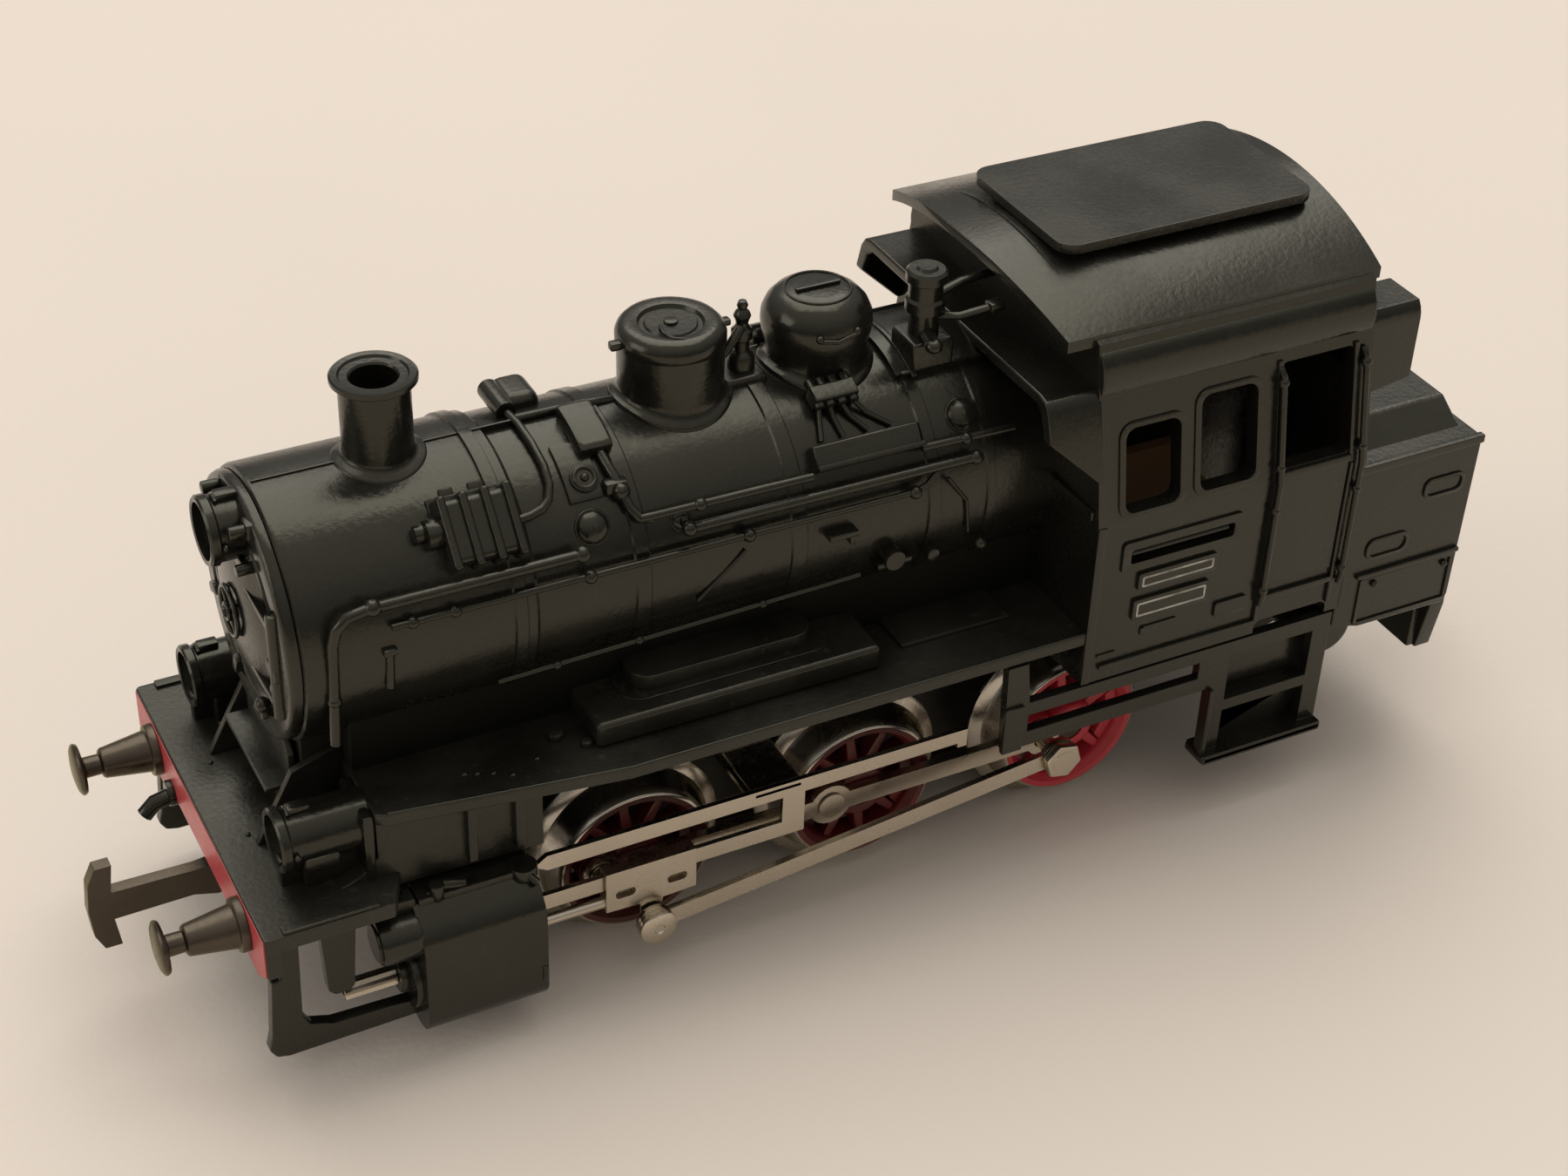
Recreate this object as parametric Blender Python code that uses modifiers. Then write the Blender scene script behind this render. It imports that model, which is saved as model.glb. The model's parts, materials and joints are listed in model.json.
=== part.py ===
"""A six-wheeled side-rod tank locomotive for a 16.5 mm model railway track.

One moulded body over a die-cast chassis, with its electric motor, reverser, gear
train, side rods, connecting rods and crossheads. Sizes are in millimetres, and MM
turns them into metres. +X is the chimney end, +Y the left side and +Z up. The origin
is on the ground under the middle, where the wheel flanges stand.
"""

import math

import bmesh
import bpy
from mathutils import Matrix, Vector

MM = 0.001
MERGE = 0.000001

# Wheels and crank motion
AXLE_Z = 7.6
AXLE_X = {"front": 20.5, "middle": 2.3, "rear": -15.9}
FLANGE_R = 7.6
TREAD_R = 6.4
RIM_R = 5.5
HUB_R = 2.2
AXLE_R = 1.15
SPOKES = 10
CRANK_THROW = 3.1
CRANK_ANGLE = {"left": math.radians(10), "right": math.radians(100)}
PIN_R = 0.7
SIDE = {"left": 1, "right": -1}

# Layers of the motion gear, measured outwards from the centre line
COUPLING_Y = (10.3, 11.0)
PIN_HEAD_Y = (11.06, 11.25)
SLEEVE_Y = (11.4, 12.6)
GUIDE_Y = (11.75, 12.2)
CONROD_Y = (12.8, 13.3)
SCREW_HEAD_Y = (13.35, 14.05)
WRIST = (17.45, 3.82)
GUIDE_TOP_Z = (11.3, 12.6)
GUIDE_LOW_Z = (7.75, 9.05)
GUIDE_REAR_X = 8.2
PISTON = (12.0, 6.6)

# Body
BOILER_Z = 30.5
BOILER_R = 9.15
SMOKEBOX_R = 9.45
SMOKEBOX_X = (27.0, 43.2)
SHELL_WALL = 1.2
BOARD_Z = (19.7, 20.7)
DECK_Z = (13.8, 15.0)
HALF_WIDTH = 15.0
BEAM_FRONT_X = 49.0
CAB_X = (-36.0, -12.7)
CAB_FOOT_Z = 16.1
WAIST_Z = 29.8
EAVE = (12.6, 43.4)
ROOF_TOP_Z = 46.9
ROOF_X = (-36.6, -10.4)
SHEET_EDGE_Y = 12.2
CORNICE = (
    (11.6, 42.2), (12.2, 43.0), (12.9, 42.7), (13.35, 41.9), (13.5, 40.9), (13.4, 40.0), (13.1, 39.4),
    (11.9, 39.4),
)
BUNKER_X = (-47.1, -36.0)
BUNKER_Z = (13.4, 28.7)
CHIMNEY_X = 34.3
DOME_X = {"sand": 13.4, "steam": 2.3}
LAMP = (9.7, 18.7)
BULB_X = 38.6

# Buffers and hooks
BUFFER_Y = 10.05
BUFFER_Z = 12.8
BUFFER_X = 55.0
BEAM_REAR_X = -48.4
HOOK_TIP_X = 57.2
HOOK_PIVOT_X = 45.9
HOOK_Z = 8.9

# Motor and gears
MODULE = 0.4
ARMATURE = (-22.0, 20.3)
ARMATURE_R = 6.5
TEETH = {"drive": 28, "small": 12, "large": 24, "pinion": 9}
FRAME_Y = 4.0


def collection(name):
    made = bpy.data.collections.new(name)
    bpy.context.scene.collection.children.link(made)
    return made


def material(name, colour, roughness, metallic=0.0):
    made = bpy.data.materials.new(name)
    made.use_nodes = True
    shader = made.node_tree.nodes["Principled BSDF"]
    shader.inputs["Base Color"].default_value = (*colour, 1)
    shader.inputs["Roughness"].default_value = roughness
    shader.inputs["Metallic"].default_value = metallic
    return made


def keep(obj, paint=None):
    """Puts a finished object in the parts collection, or an unpainted one with the helpers."""
    for group in list(obj.users_collection):
        group.objects.unlink(obj)
    if paint is None:
        HELPERS.objects.link(obj)
        obj.hide_render = True
        obj.display_type = "WIRE"
    else:
        PARTS.objects.link(obj)
        obj.data.materials.clear()
        obj.data.materials.append(FINISH[paint])
    return obj


def from_bmesh(name, shape, paint=None):
    mesh = bpy.data.meshes.new(name)
    shape.to_mesh(mesh)
    shape.free()
    return keep(bpy.data.objects.new(name, mesh), paint)


def box(name, x, y, z, paint=None):
    """A block between the two values given for each axis."""
    shape = bmesh.new()
    size = [abs(pair[1] - pair[0]) * MM for pair in (x, y, z)]
    middle = [sum(pair) / 2 * MM for pair in (x, y, z)]
    bmesh.ops.create_cube(shape, size=1, matrix=Matrix.Translation(middle) @ Matrix.Diagonal((*size, 1)))
    return from_bmesh(name, shape, paint)


AXIS_TURN = {
    "X": Matrix.Rotation(math.radians(90), 4, "Y"),
    "Y": Matrix.Rotation(math.radians(-90), 4, "X"),
    "Z": Matrix.Identity(4),
}


def rod(name, axis, centre, radius, span, paint=None, sides=20, end_radius=None, turn=0.0):
    """A cylinder or cone along an axis. centre holds the other two coordinates, in X, Y, Z order."""
    shape = bmesh.new()
    low, high = sorted(span)
    place = list(centre)
    place.insert("XYZ".index(axis), (low + high) / 2)
    put = Matrix.Translation(Vector(place) * MM) @ AXIS_TURN[axis] @ Matrix.Rotation(turn, 4, "Z")
    top = radius if end_radius is None else end_radius
    bmesh.ops.create_cone(
        shape, cap_ends=True, segments=sides, radius1=radius * MM, radius2=top * MM,
        depth=(high - low) * MM, matrix=put
    )
    return from_bmesh(name, shape, paint)


def turned(name, profile, place, axis="Z", flip=False, ring=False, paint=None, steps=24):
    """A turned shape. The profile is (radius, height) pairs running down its outer side."""
    mesh = bpy.data.meshes.new(name)
    points = [(radius * MM, 0, height * MM) for radius, height in profile]
    edges = [(i, i + 1) for i in range(len(points) - 1)]
    if ring:
        edges.append((len(points) - 1, 0))
    mesh.from_pydata(points, edges, [])
    obj = keep(bpy.data.objects.new(name, mesh), paint)
    turning = Matrix.Rotation(math.pi, 4, "X") if flip else Matrix.Identity(4)
    obj.matrix_world = Matrix.Translation(Vector(place) * MM) @ AXIS_TURN[axis] @ turning
    screw = obj.modifiers.new("Turn", "SCREW")
    screw.steps = screw.render_steps = steps
    screw.use_merge_vertices = True
    screw.merge_threshold = MERGE
    return obj


def plate(name, plane, span, outlines, paint=None):
    """A flat plate: closed outlines in a plane, the first the edge and the rest its openings."""
    curve = bpy.data.curves.new(name, "CURVE")
    curve.dimensions = "2D"
    curve.fill_mode = "BOTH"
    for outline in outlines:
        spline = curve.splines.new("POLY")
        spline.points.add(len(outline) - 1)
        for point, (across, up) in zip(spline.points, outline):
            point.co = (across * MM, up * MM, 0, 1)
        spline.use_cyclic_u = True
    low, high = sorted(span)
    curve.extrude = (high - low) / 2 * MM
    obj = bpy.data.objects.new(name + "_outline", curve)
    bpy.context.scene.collection.objects.link(obj)
    middle = (low + high) / 2 * MM
    if plane == "XZ":
        put = Matrix.Translation((0, middle, 0)) @ Matrix.Rotation(math.radians(90), 4, "X")
    elif plane == "YZ":
        put = Matrix.Translation((middle, 0, 0)) @ Matrix(((0, 0, 1, 0), (1, 0, 0, 0), (0, 1, 0, 0),
                                                           (0, 0, 0, 1)))
    else:
        put = Matrix.Translation((0, 0, middle))
    bpy.context.view_layer.update()
    evaluated = obj.evaluated_get(bpy.context.evaluated_depsgraph_get())
    mesh = bpy.data.meshes.new_from_object(evaluated)
    mesh.name = name
    bpy.data.objects.remove(obj)
    shape = bmesh.new()
    shape.from_mesh(mesh)
    bmesh.ops.remove_doubles(shape, verts=shape.verts, dist=MERGE)
    shape.transform(put)
    bmesh.ops.recalc_face_normals(shape, faces=shape.faces)
    bpy.data.meshes.remove(mesh)
    return from_bmesh(name, shape, paint)


def combine(obj, operation, *others):
    for other in others:
        change = obj.modifiers.new(operation.title(), "BOOLEAN")
        change.operation = operation
        change.object = other
    return obj


def join(obj, *others):
    return combine(obj, "UNION", *others)


def cut(obj, *others):
    return combine(obj, "DIFFERENCE", *others)


def arc(centre, radius, start, end, count):
    """Points on a circle, from start to end in degrees."""
    turns = [math.radians(start + (end - start) * i / count) for i in range(count + 1)]
    return [(centre[0] + radius * math.cos(a), centre[1] + radius * math.sin(a)) for a in turns]


def circle(centre, radius, count=20):
    return arc(centre, radius, 0, 360, count)[:-1]


def rounded(x, y, radius, count=4):
    """A rectangle with round corners."""
    corners = [(x[1], y[0], -90), (x[1], y[1], 0), (x[0], y[1], 90), (x[0], y[0], 180)]
    points = []
    for cx, cy, start in corners:
        inset = (cx - math.copysign(radius, cx - sum(x) / 2), cy - math.copysign(radius, cy - sum(y) / 2))
        points += arc(inset, radius, start, start + 90, count)
    return points


def mirrored(outline):
    """An outline closed by its mirror image across the first coordinate."""
    return outline + [(-a, b) for a, b in reversed(outline) if abs(a) > 1e-9]


def pivot(name, place):
    """An empty on a joint's axis, which the moving pieces hang from."""
    empty = bpy.data.objects.new(name, None)
    empty.empty_display_size = 0.003
    empty.location = Vector(place) * MM
    PARTS.objects.link(empty)
    bpy.context.view_layer.update()
    return empty


def hang(parent, *children):
    bpy.context.view_layer.update()
    for child in children:
        world = child.matrix_world.copy()
        child.parent = parent
        child.matrix_parent_inverse = parent.matrix_world.inverted()
        child.matrix_world = world


def crank(side, axle):
    """Crank pin centre of an axle, in X and Z."""
    angle = CRANK_ANGLE[side]
    return AXLE_X[axle] + CRANK_THROW * math.cos(angle), AXLE_Z + CRANK_THROW * math.sin(angle)


def cab_section(inset=0.0, foot=CAB_FOOT_Z):
    """Cab cross-section: upright sides, an inward lean above the waist and an arched roof."""
    eave_y, eave_z = EAVE
    rise = ROOF_TOP_Z - eave_z
    radius = (eave_y**2 + rise**2) / (2 * rise)
    swing = math.degrees(math.asin(eave_y / radius))
    top = arc((0, ROOF_TOP_Z - radius), radius - inset, 90 - swing, 90, 8)
    side = [(HALF_WIDTH - inset, foot), (HALF_WIDTH - inset, WAIST_Z), (eave_y - inset, eave_z - inset)]
    return mirrored(side + top[1:])


def build_shell():
    """The moulded body: boiler, smokebox, fittings, footplate, cab, roof and bunker in one piece."""
    name = "body_shell"
    shell = rod(name, "X", (0, BOILER_Z), BOILER_R, (-13.5, SMOKEBOX_X[0] + 1), "body", 40)
    adds = [
        rod("smokebox", "X", (0, BOILER_Z), SMOKEBOX_R, SMOKEBOX_X, sides=40),
        box("firebox_sides", (-13.5, 40), (-7.4, 7.4), (19.75, 27)),
        plate("running_boards", "XY", BOARD_Z, [mirrored_x([(-13.4, 15), (23, 15), (34, 13.4),
                                                            (40.2, 12.5)])]),
        plate("front_deck", "XY", DECK_Z, [mirrored_x([(38.5, 11.9), (40, 14.75), (48.2, 14.75)])]),
        plate("front_beam", "YZ", (47.8, BEAM_FRONT_X), [beam_outline(14.75, 11.4, 15.0, 10.2)]),
        plate("rear_beam", "YZ", (BEAM_REAR_X, -46.9), [beam_outline(13.4, 11.4, 14.6, 7.3)]),
        box("front_wall", (39.0, 40.1), (-11.95, 11.95), (14.2, 20.2)),
        box("saddle", (39.6, 42.6), (-5.0, 5.0), (14.3, 24.0)),
        plate("cab", "YZ", CAB_X, [cab_section()]),
        plate("roof", "YZ", ROOF_X, [roof_section()]),
        plate("roof_hatch", "XY", (46.95, 47.7), [rounded((-34.5, -13.4), (-6.4, 6.4), 1.6)]),
        plate("hatch_coaming", "XY", (45.0, 47.0), [rounded((-33.7, -14.2), (-5.6, 5.6), 1.2)]),
        plate("bunker", "XZ", (-HALF_WIDTH, HALF_WIDTH), [[(-35.5, 13.9), (-39.0, BUNKER_Z[0]),
                                                           (-46.9, BUNKER_Z[0]),
              (BUNKER_X[0], BUNKER_Z[1]), (-35.5, BUNKER_Z[1])]]),
        plate("coal_space", "YZ", (-46.5, -35.5), [mirrored([(13.8, 28.0), (10.8, 30.3)])]),
        turned("chimney", [(0, 46.1), (2.8, 46.1), (2.8, 45.3), (2.35, 45.0), (2.4, 40.6), (3.3, 39.6),
                           (3.3, 37.6), (0, 37.6)],
               (CHIMNEY_X, 0, 0)),
        turned("sand_dome", [(0, 45.2), (2.8, 45.1), (3.6, 44.5), (3.7, 43.7), (3.5, 43.6), (3.5, 39.9),
                             (4.3, 38.7), (4.3, 37),
               (0, 37)], (DOME_X["sand"], 0, 0)),
        turned("steam_dome", [(0, 45.1), (2.4, 44.9), (3.5, 44.0), (3.9, 42.6), (3.6, 40.9), (3.4, 39.9),
                              (4.0, 38.9), (4.0, 37),
               (0, 37)], (DOME_X["steam"], 0, 0)),
        rod("turret", "Z", (-4.4, 3.3), 1.1, (38, 46.8), sides=12),
        plate("turret_plate", "YZ", (-8.2, -1.2), [mirrored([(5.6, 36.5), (5.6, 38.2), (4.4, 39.6),
                                                             (2.4, 40.1)])]),
    ]
    for side, sign in SIDE.items():
        lamp_y = sign * LAMP[0]
        adds += [
            plate("valance_" + side, "XZ", (sign * 10.5, sign * 12.0),
                  [[(28.3, 13.6), (28.3, 20.2), (40.2, 20.2), (40.9, 18.4),
                  (42.0, 16.6), (43.4, 15.0), (43.4, 13.95), (38.4, 13.6)]]),
            rod("lamp_" + side, "X", (lamp_y, LAMP[1]), 2.2, (38.8, 46.2), sides=20),
            box("lamp_foot_" + side, (39.6, 44.5), (lamp_y - 1.0, lamp_y + 1.0), (14.3, 18.0)),
            box("side_box_" + side, (0.9, 22.8), (sign * 7.0, sign * 10.4), (20.2, 21.6)),
            plate("side_pad_" + side, "XY", (21.0, 22.9), [rounded((6.2, 18.8),
                                                                   sorted((sign * 6.8, sign * 8.9)), 0.9)]),
            plate("front_visor_" + side, "XZ", sorted((sign * 8.3, sign * 11.8)),
                  [[(-13.2, 40.2), (-8.6, 39.6), (-8.6, 38.3), (-12.3, 34.4), (-13.2, 34.4)]]),
            plate("rear_visor_" + side, "XZ", sorted((sign * 8.8, sign * 13.2)),
                  [[(-35.6, 40.8), (-40.3, 40.4), (-40.3, 38.7), (-36.4, 34.9), (-35.6, 34.9)]]),
            plate("cornice_" + side, "YZ", (-35.9, -12.8),
                  [[(sign * y, z) for y, z in CORNICE]]),
            box("pump_" + side, (27.6, 32.6), sorted((sign * 6.0, sign * 8.6)), (33.4, 37.4)),
            rod("washout_" + side, "Y", (-9.4, 36.2), 0.9, (sign * 5.0, sign * 8.3), sides=12),
        ]
    hollows = [
        rod("boiler_hollow", "X", (0, BOILER_Z), BOILER_R - SHELL_WALL, (-14.5, 41.2), sides=32),
        box("chassis_hollow", (-14.5, 38.6), (-6.75, 6.75), (12, 30)),
        plate("cab_hollow", "YZ", (-34.9, CAB_X[1] - SHELL_WALL), [cab_section(SHELL_WALL, 10)]),
        box("bunker_hollow", (-45.9, -34.0), (-13.8, 13.8), (10, 27.4)),
        rod("bulb_hollow", "Z", (BULB_X, 0), 2.6, (12, 24.6)),
    ]
    for side, sign in SIDE.items():
        across = sorted((sign * 11.0, sign * 17.0))
        hollows += [
            plate("front_window_" + side, "XZ", across, [rounded((-19.5, -14.8), (30.4, 37.0), 0.8)]),
            plate("rear_window_" + side, "XZ", across, [rounded((-26.0, -21.1), (30.6, 38.1), 0.8)]),
            plate("door_window_" + side, "XZ", across, [rounded((-34.4, -28.0), (30.6, 38.8), 0.6)]),
            plate("foot_arch_" + side, "XZ", across, [rounded((-34.6, -28.0), (14.0, 17.2), 0.6)]),
            rod("spectacle_" + side, "X", (sign * 9.4, 37.2), 1.4, (-15, -10), sides=16),
            rod("lens_seat_" + side, "X", (sign * LAMP[0], LAMP[1]), 1.8, (44.4, 47), sides=20),
        ]
    pillar = rod("screw_pillar", "Z", (CHIMNEY_X, 0), 3.2, (23.0, 38.8), sides=20)
    bores = [
        rod("chimney_bore", "Z", (CHIMNEY_X, 0), 1.56, (24.6, 47), sides=20),
        rod("screw_bore", "Z", (CHIMNEY_X, 0), 0.95, (22, 25), sides=16),
    ]
    join(shell, *adds)
    cut(shell, *hollows)
    join(shell, pillar)
    cut(shell, *bores)
    return shell


def mirrored_x(outline):
    """An outline closed by its mirror image across the second coordinate."""
    return outline + [(a, -b) for a, b in reversed(outline)]


def beam_outline(half, waist, top, foot):
    """A buffer beam that steps down behind each buffer."""
    return mirrored([(5.4, waist), (7.4, foot), (12.7, foot), (half, waist + 0.2), (half, top)])


def roof_section():
    """The roof sheet's section: the cab's arch, a little proud of it, down to its edge above the cornice."""
    eave_y, eave_z = EAVE
    rise = ROOF_TOP_Z - eave_z
    radius = (eave_y**2 + rise**2) / (2 * rise)
    swing = math.degrees(math.asin(SHEET_EDGE_Y / (radius + 0.3)))
    outer = arc((0, ROOF_TOP_Z - radius), radius + 0.3, 90 - swing, 90, 8)
    inner = arc((0, ROOF_TOP_Z - radius), radius - 0.8, 90, 90 - swing, 6)
    right = outer[:-1] + [(0, outer[-1][1])]
    left = [(-a, b) for a, b in reversed(outer[:-1])]
    under_left = [(-a, b) for a, b in reversed(inner[1:])]
    under_right = [(a, b) for a, b in inner[1:]]
    return right + left + under_left + [(0, inner[0][1])] + under_right


def build_front_and_lamps():
    """The smokebox front with its door and top lamp, the lamp lenses, bulb and body screw."""
    door = [(0, 45.0), (2.0, 44.95), (4.6, 44.6), (5.9, 44.3), (5.9, 44.1), (8.7, 44.1), (8.7, 43.25),
            (0, 43.25)]
    front = turned("smokebox_front", door, (0, 0, BOILER_Z), "X", paint="body", steps=36)
    lamp = rod("top_lamp", "X", (0, 37.1), 2.4, (43.3, 46.0), sides=20)
    seat = rod("top_lens_seat", "X", (0, 37.1), 1.95, (44.9, 47), sides=20)
    wheel = rod("door_handwheel", "X", (0, BOILER_Z), 1.2, (44.6, 45.6), sides=16)
    cut(join(front, lamp, wheel), seat)
    for side, sign in SIDE.items():
        rod("lamp_lens_" + side, "X", (sign * LAMP[0], LAMP[1]), 1.74, (44.45, 45.9), "lens", 20, 1.5)
    rod("lamp_lens_top", "X", (0, 37.1), 1.89, (44.95, 45.7), "lens", 20, 1.6)
    turned("lamp_bulb", [(0, 23.2), (0.9, 22.9), (1.5, 22.0), (1.5, 20.6), (1.1, 19.4), (1.1, 18.3),
                         (0, 18.3)],
           (BULB_X, 0, 0), paint="lens", steps=16)
    turned("bulb_socket", [(0, 18.2), (1.5, 18.2), (1.5, 13.9), (1.9, 13.9), (1.9, 13.3), (0, 13.3)],
           (BULB_X, 0, 0), paint="brass", steps=16)
    turned("body_screw", [(0, 26.0), (1.45, 26.0), (1.45, 24.7), (0.8, 24.7), (0.8, 14.2), (0, 14.2)],
           (CHIMNEY_X, 0, 0), paint="steel", steps=16)


def build_buffers_and_hooks():
    """Two turned buffers at the front, and a hook that swings on a pin under each end of the chassis."""
    foot = BEAM_FRONT_X + 0.05
    profile = [(0, BUFFER_X), (1.4, BUFFER_X - 0.05), (1.9, BUFFER_X - 0.25), (1.9, BUFFER_X - 0.65),
               (0.75, BUFFER_X - 0.8), (0.75, BUFFER_X - 1.9), (1.1, BUFFER_X - 2.0), (1.55, foot + 0.6),
               (1.9, foot + 0.55), (1.9, foot), (0, foot)]
    for side, sign in SIDE.items():
        place = (0, sign * BUFFER_Y, BUFFER_Z)
        turned("buffer_front_" + side, profile, place, "X", paint="steel", steps=20)
    head = [(56.4, 5.3), (57.0, 6.6), (HOOK_TIP_X, HOOK_Z), (57.0, 11.2), (56.4, 12.5), (55.2, 12.5),
            (55.5, 10.1)]
    shank = [(49.6, 10.0), (47.9, 10.2), (46.9, 10.1), (46.9, 7.6), (48.2, 7.3), (49.9, 7.8),
             (55.5, 7.7), (55.2, 5.3)]
    for end, sign in (("front", 1), ("rear", -1)):
        hook = plate("hook_" + end, "XZ", (-0.5, 0.5), [[(sign * x, z) for x, z in head + shank]], "steel")
        eye = rod("hook_eye_" + end, "Z", (sign * HOOK_PIVOT_X, 0), 1.25, (7.7, 10.0))
        bore = rod("hook_bore_" + end, "Z", (sign * HOOK_PIVOT_X, 0), 0.66, (7, 11))
        cut(join(hook, eye), bore)
        hang(pivot("hook_pivot_" + end, (sign * HOOK_PIVOT_X, 0, HOOK_Z)), hook)


def build_chassis():
    """The die-cast frame between the wheels, with its bearings, hook pins and motor plate."""
    outline = [(-46.8, 10.3), (-46.8, 12.6), (-30.5, 12.6), (-30.0, 12.2), (-1.2, 12.2), (-0.8, 11.8),
               (39.2, 11.8), (39.8, 13.2),
               (47.4, 13.2), (47.4, 10.4), (43.0, 10.4), (40.5, 7.0), (28.0, 4.3), (-30.0, 4.3),
               (-40.0, 6.5), (-43.5, 10.3)]
    chassis = plate("chassis_frame", "XZ", (-FRAME_Y, FRAME_Y), [outline], "cast")
    motor_plate = plate("motor_plate", "XZ", (-3.95, -3.2),
                        [[(-31, 10.5), (-31, 22), (-27, 29.5), (-9.8, 29.5), (-9.8, 10.5)]])
    adds = [
        motor_plate,
        rod("screw_boss", "Z", (CHIMNEY_X, 0), 2.3, (11, 22.8)),
        box("rear_tab", (-43.5, -40.5), (-3.0, 3.0), (12, 17.0)),
        rod("hook_pin_front", "Z", (HOOK_PIVOT_X, 0), 0.6, (7.3, 10.8)),
        rod("hook_pin_rear", "Z", (-HOOK_PIVOT_X, 0), 0.6, (7.3, 10.8)),
        rod("idler_stud", "Y", idler_centre(), 0.6, (-6.7, -3.6)),
    ]
    bearings = [rod("bearing_" + axle, "Y", (x, AXLE_Z), AXLE_R + 0.07, (-6, 6), sides=24) for axle,
                x in AXLE_X.items()]
    cuts = bearings + [
        rod("armature_bearing", "Y", ARMATURE, 0.82, (-5, -2), sides=20),
        rod("screw_thread", "Z", (CHIMNEY_X, 0), 0.87, (13.9, 24), sides=16),
    ]
    cut(join(chassis, *adds), *cuts)


def idler_centre():
    """Where the idler meshes with both the armature pinion and the drive gear, in X and Z."""
    drive = Vector((AXLE_X["rear"], AXLE_Z))
    armature = Vector(ARMATURE)
    to_drive = pitch_radius("small") + pitch_radius("drive")
    to_armature = pitch_radius("large") + pitch_radius("pinion")
    line = armature - drive
    along = (line.length_squared + to_drive**2 - to_armature**2) / (2 * line.length)
    off = math.sqrt(to_drive**2 - along**2)
    unit = line.normalized()
    place = drive + unit * along + Vector((unit.y, -unit.x)) * off
    return place.x, place.y


def pitch_radius(gear):
    return TEETH[gear] * MODULE / 2


def gear_outline(gear, centre, first_tooth):
    """Teeth shallow and narrow enough to run with backlash. first_tooth is one tooth's angle."""
    count = TEETH[gear]
    pitch = pitch_radius(gear)
    root, tip = pitch - 0.85 * MODULE, pitch + 0.5 * MODULE
    step = 2 * math.pi / count
    points = []
    for k in range(count):
        middle = first_tooth + k * step
        for radius, offset in ((root, -0.27), (tip, -0.13), (tip, 0.13), (root, 0.27)):
            angle = middle + offset * step
            points.append((centre[0] + radius * math.cos(angle), centre[1] + radius * math.sin(angle)))
    return points


def angle_between(start, end):
    return math.atan2(end[1] - start[1], end[0] - start[0])


def build_gears():
    """The three-stage train on the right side: armature pinion, idler and rear axle gear."""
    idler = idler_centre()
    drive_at = (AXLE_X["rear"], AXLE_Z)
    to_idler = angle_between(drive_at, idler)
    small_gap = to_idler + math.pi + math.pi / TEETH["small"]
    drive = plate("drive_gear", "XZ", (-5.4, -4.4), [gear_outline("drive", drive_at, to_idler),
                                                     circle(drive_at, AXLE_R + 0.03)],
                  "brass")
    small = plate("idler_gear", "XZ", (-5.55, -4.35), [gear_outline("small", idler, small_gap)], "brass")
    to_armature = angle_between(idler, ARMATURE)
    large = plate("idler_large", "XZ", (-6.5, -5.5), [gear_outline("large", idler, to_armature)])
    cut(join(small, large), rod("idler_bore", "Y", idler, 0.66, (-8, -4)))
    pinion_gap = to_armature + math.pi + math.pi / TEETH["pinion"]
    pinion = plate("armature_pinion", "XZ", (-6.6, -5.4), [gear_outline("pinion", ARMATURE, pinion_gap),
                                                           circle(ARMATURE, 0.78)],
                   "brass")
    hang(pivot("idler_pivot", (idler[0], -5.5, idler[1])), small)
    return drive, pinion


def build_motor(pinion):
    """Field core and coil, the three-pole armature with its disc commutator, and the brush plate."""
    ax, az = ARMATURE
    core_outline = [(-29.5, 12.3), (-29.5, 17.0), (-13.2, 17.0), (-13.2, 14.9), (-5.0, 14.9), (-5.0, 26.0),
                    (-13.2, 26.0),
                    (-13.2, 23.6), (-29.5, 23.6), (-29.5, 29.2), (-1.8, 29.2), (-1.8, 12.3)]
    core = plate("field_core", "XZ", (-3.05, 3.0), [core_outline], "steel")
    cut(core, rod("field_bore", "Y", ARMATURE, ARMATURE_R + 0.3, (-5, 5), sides=32))
    coil = plate("field_coil", "XY", (15.6, 25.4), [rounded((-9.6, 1.6), (-5.6, 5.6), 2.0),
                                                    rounded((-5.2, -1.6), (-3.25, 3.25), 0.3)],
                 "copper")
    notch = [(ARMATURE_R * 1.1, -0.9), (2.6, -2.2), (2.6, 2.2), (ARMATURE_R * 1.1, 0.9)]
    armature = rod("armature_core", "Y", ARMATURE, ARMATURE_R, (-2.8, 2.8), "steel", 36)
    shaft = rod("armature_shaft", "Y", ARMATURE, 0.75, (-6.65, 6.4), sides=16)
    notches = []
    for k in range(3):
        turn = math.radians(30 + 120 * k)
        spun = [(ax + a * math.cos(turn) - b * math.sin(turn), az + a * math.sin(turn) + b * math.cos(turn))
                for a, b in notch]
        notches.append(plate(f"winding_notch_{k}", "XZ", (-4, 4), [spun]))
    join(cut(armature, *notches), shaft)
    winding = turned("armature_winding", [(0.85, 3.35), (2.5, 3.35), (2.5, 2.85), (0.85, 2.85)],
                     (ax, 0, az), "Y", ring=True,
                     paint="copper", steps=18)
    disc = turned("commutator", [(0.85, 4.0), (4.1, 4.0), (4.1, 3.45), (0.85, 3.45)], (ax, 0, az), "Y",
                  ring=True,
                  paint="copper", steps=24)
    brush_plate = plate("brush_plate", "XZ", (4.9, 5.9), [[(-29, 13), (-29, 24), (-25.5, 28.5),
                                                           (-18.5, 28.5), (-14, 24), (-14, 13)],
                        circle(ARMATURE, 0.82, 16), circle((ax - 2.9, az), 1.0, 16),
                                                          circle((ax + 2.9, az), 1.0, 16)], "paxolin")
    foot = box("brush_plate_foot", (-28, -15), (3.3, 5.3), (12.3, 14.0))
    join(brush_plate, foot)
    for place, offset in (("front", 2.9), ("rear", -2.9)):
        rod("brush_" + place, "Y", (ax + offset, az), 0.94, (4.06, 6.6), "carbon", 16)
    hang(pivot("armature_pivot", (ax, 0, az)), armature, winding, disc, pinion)


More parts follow.
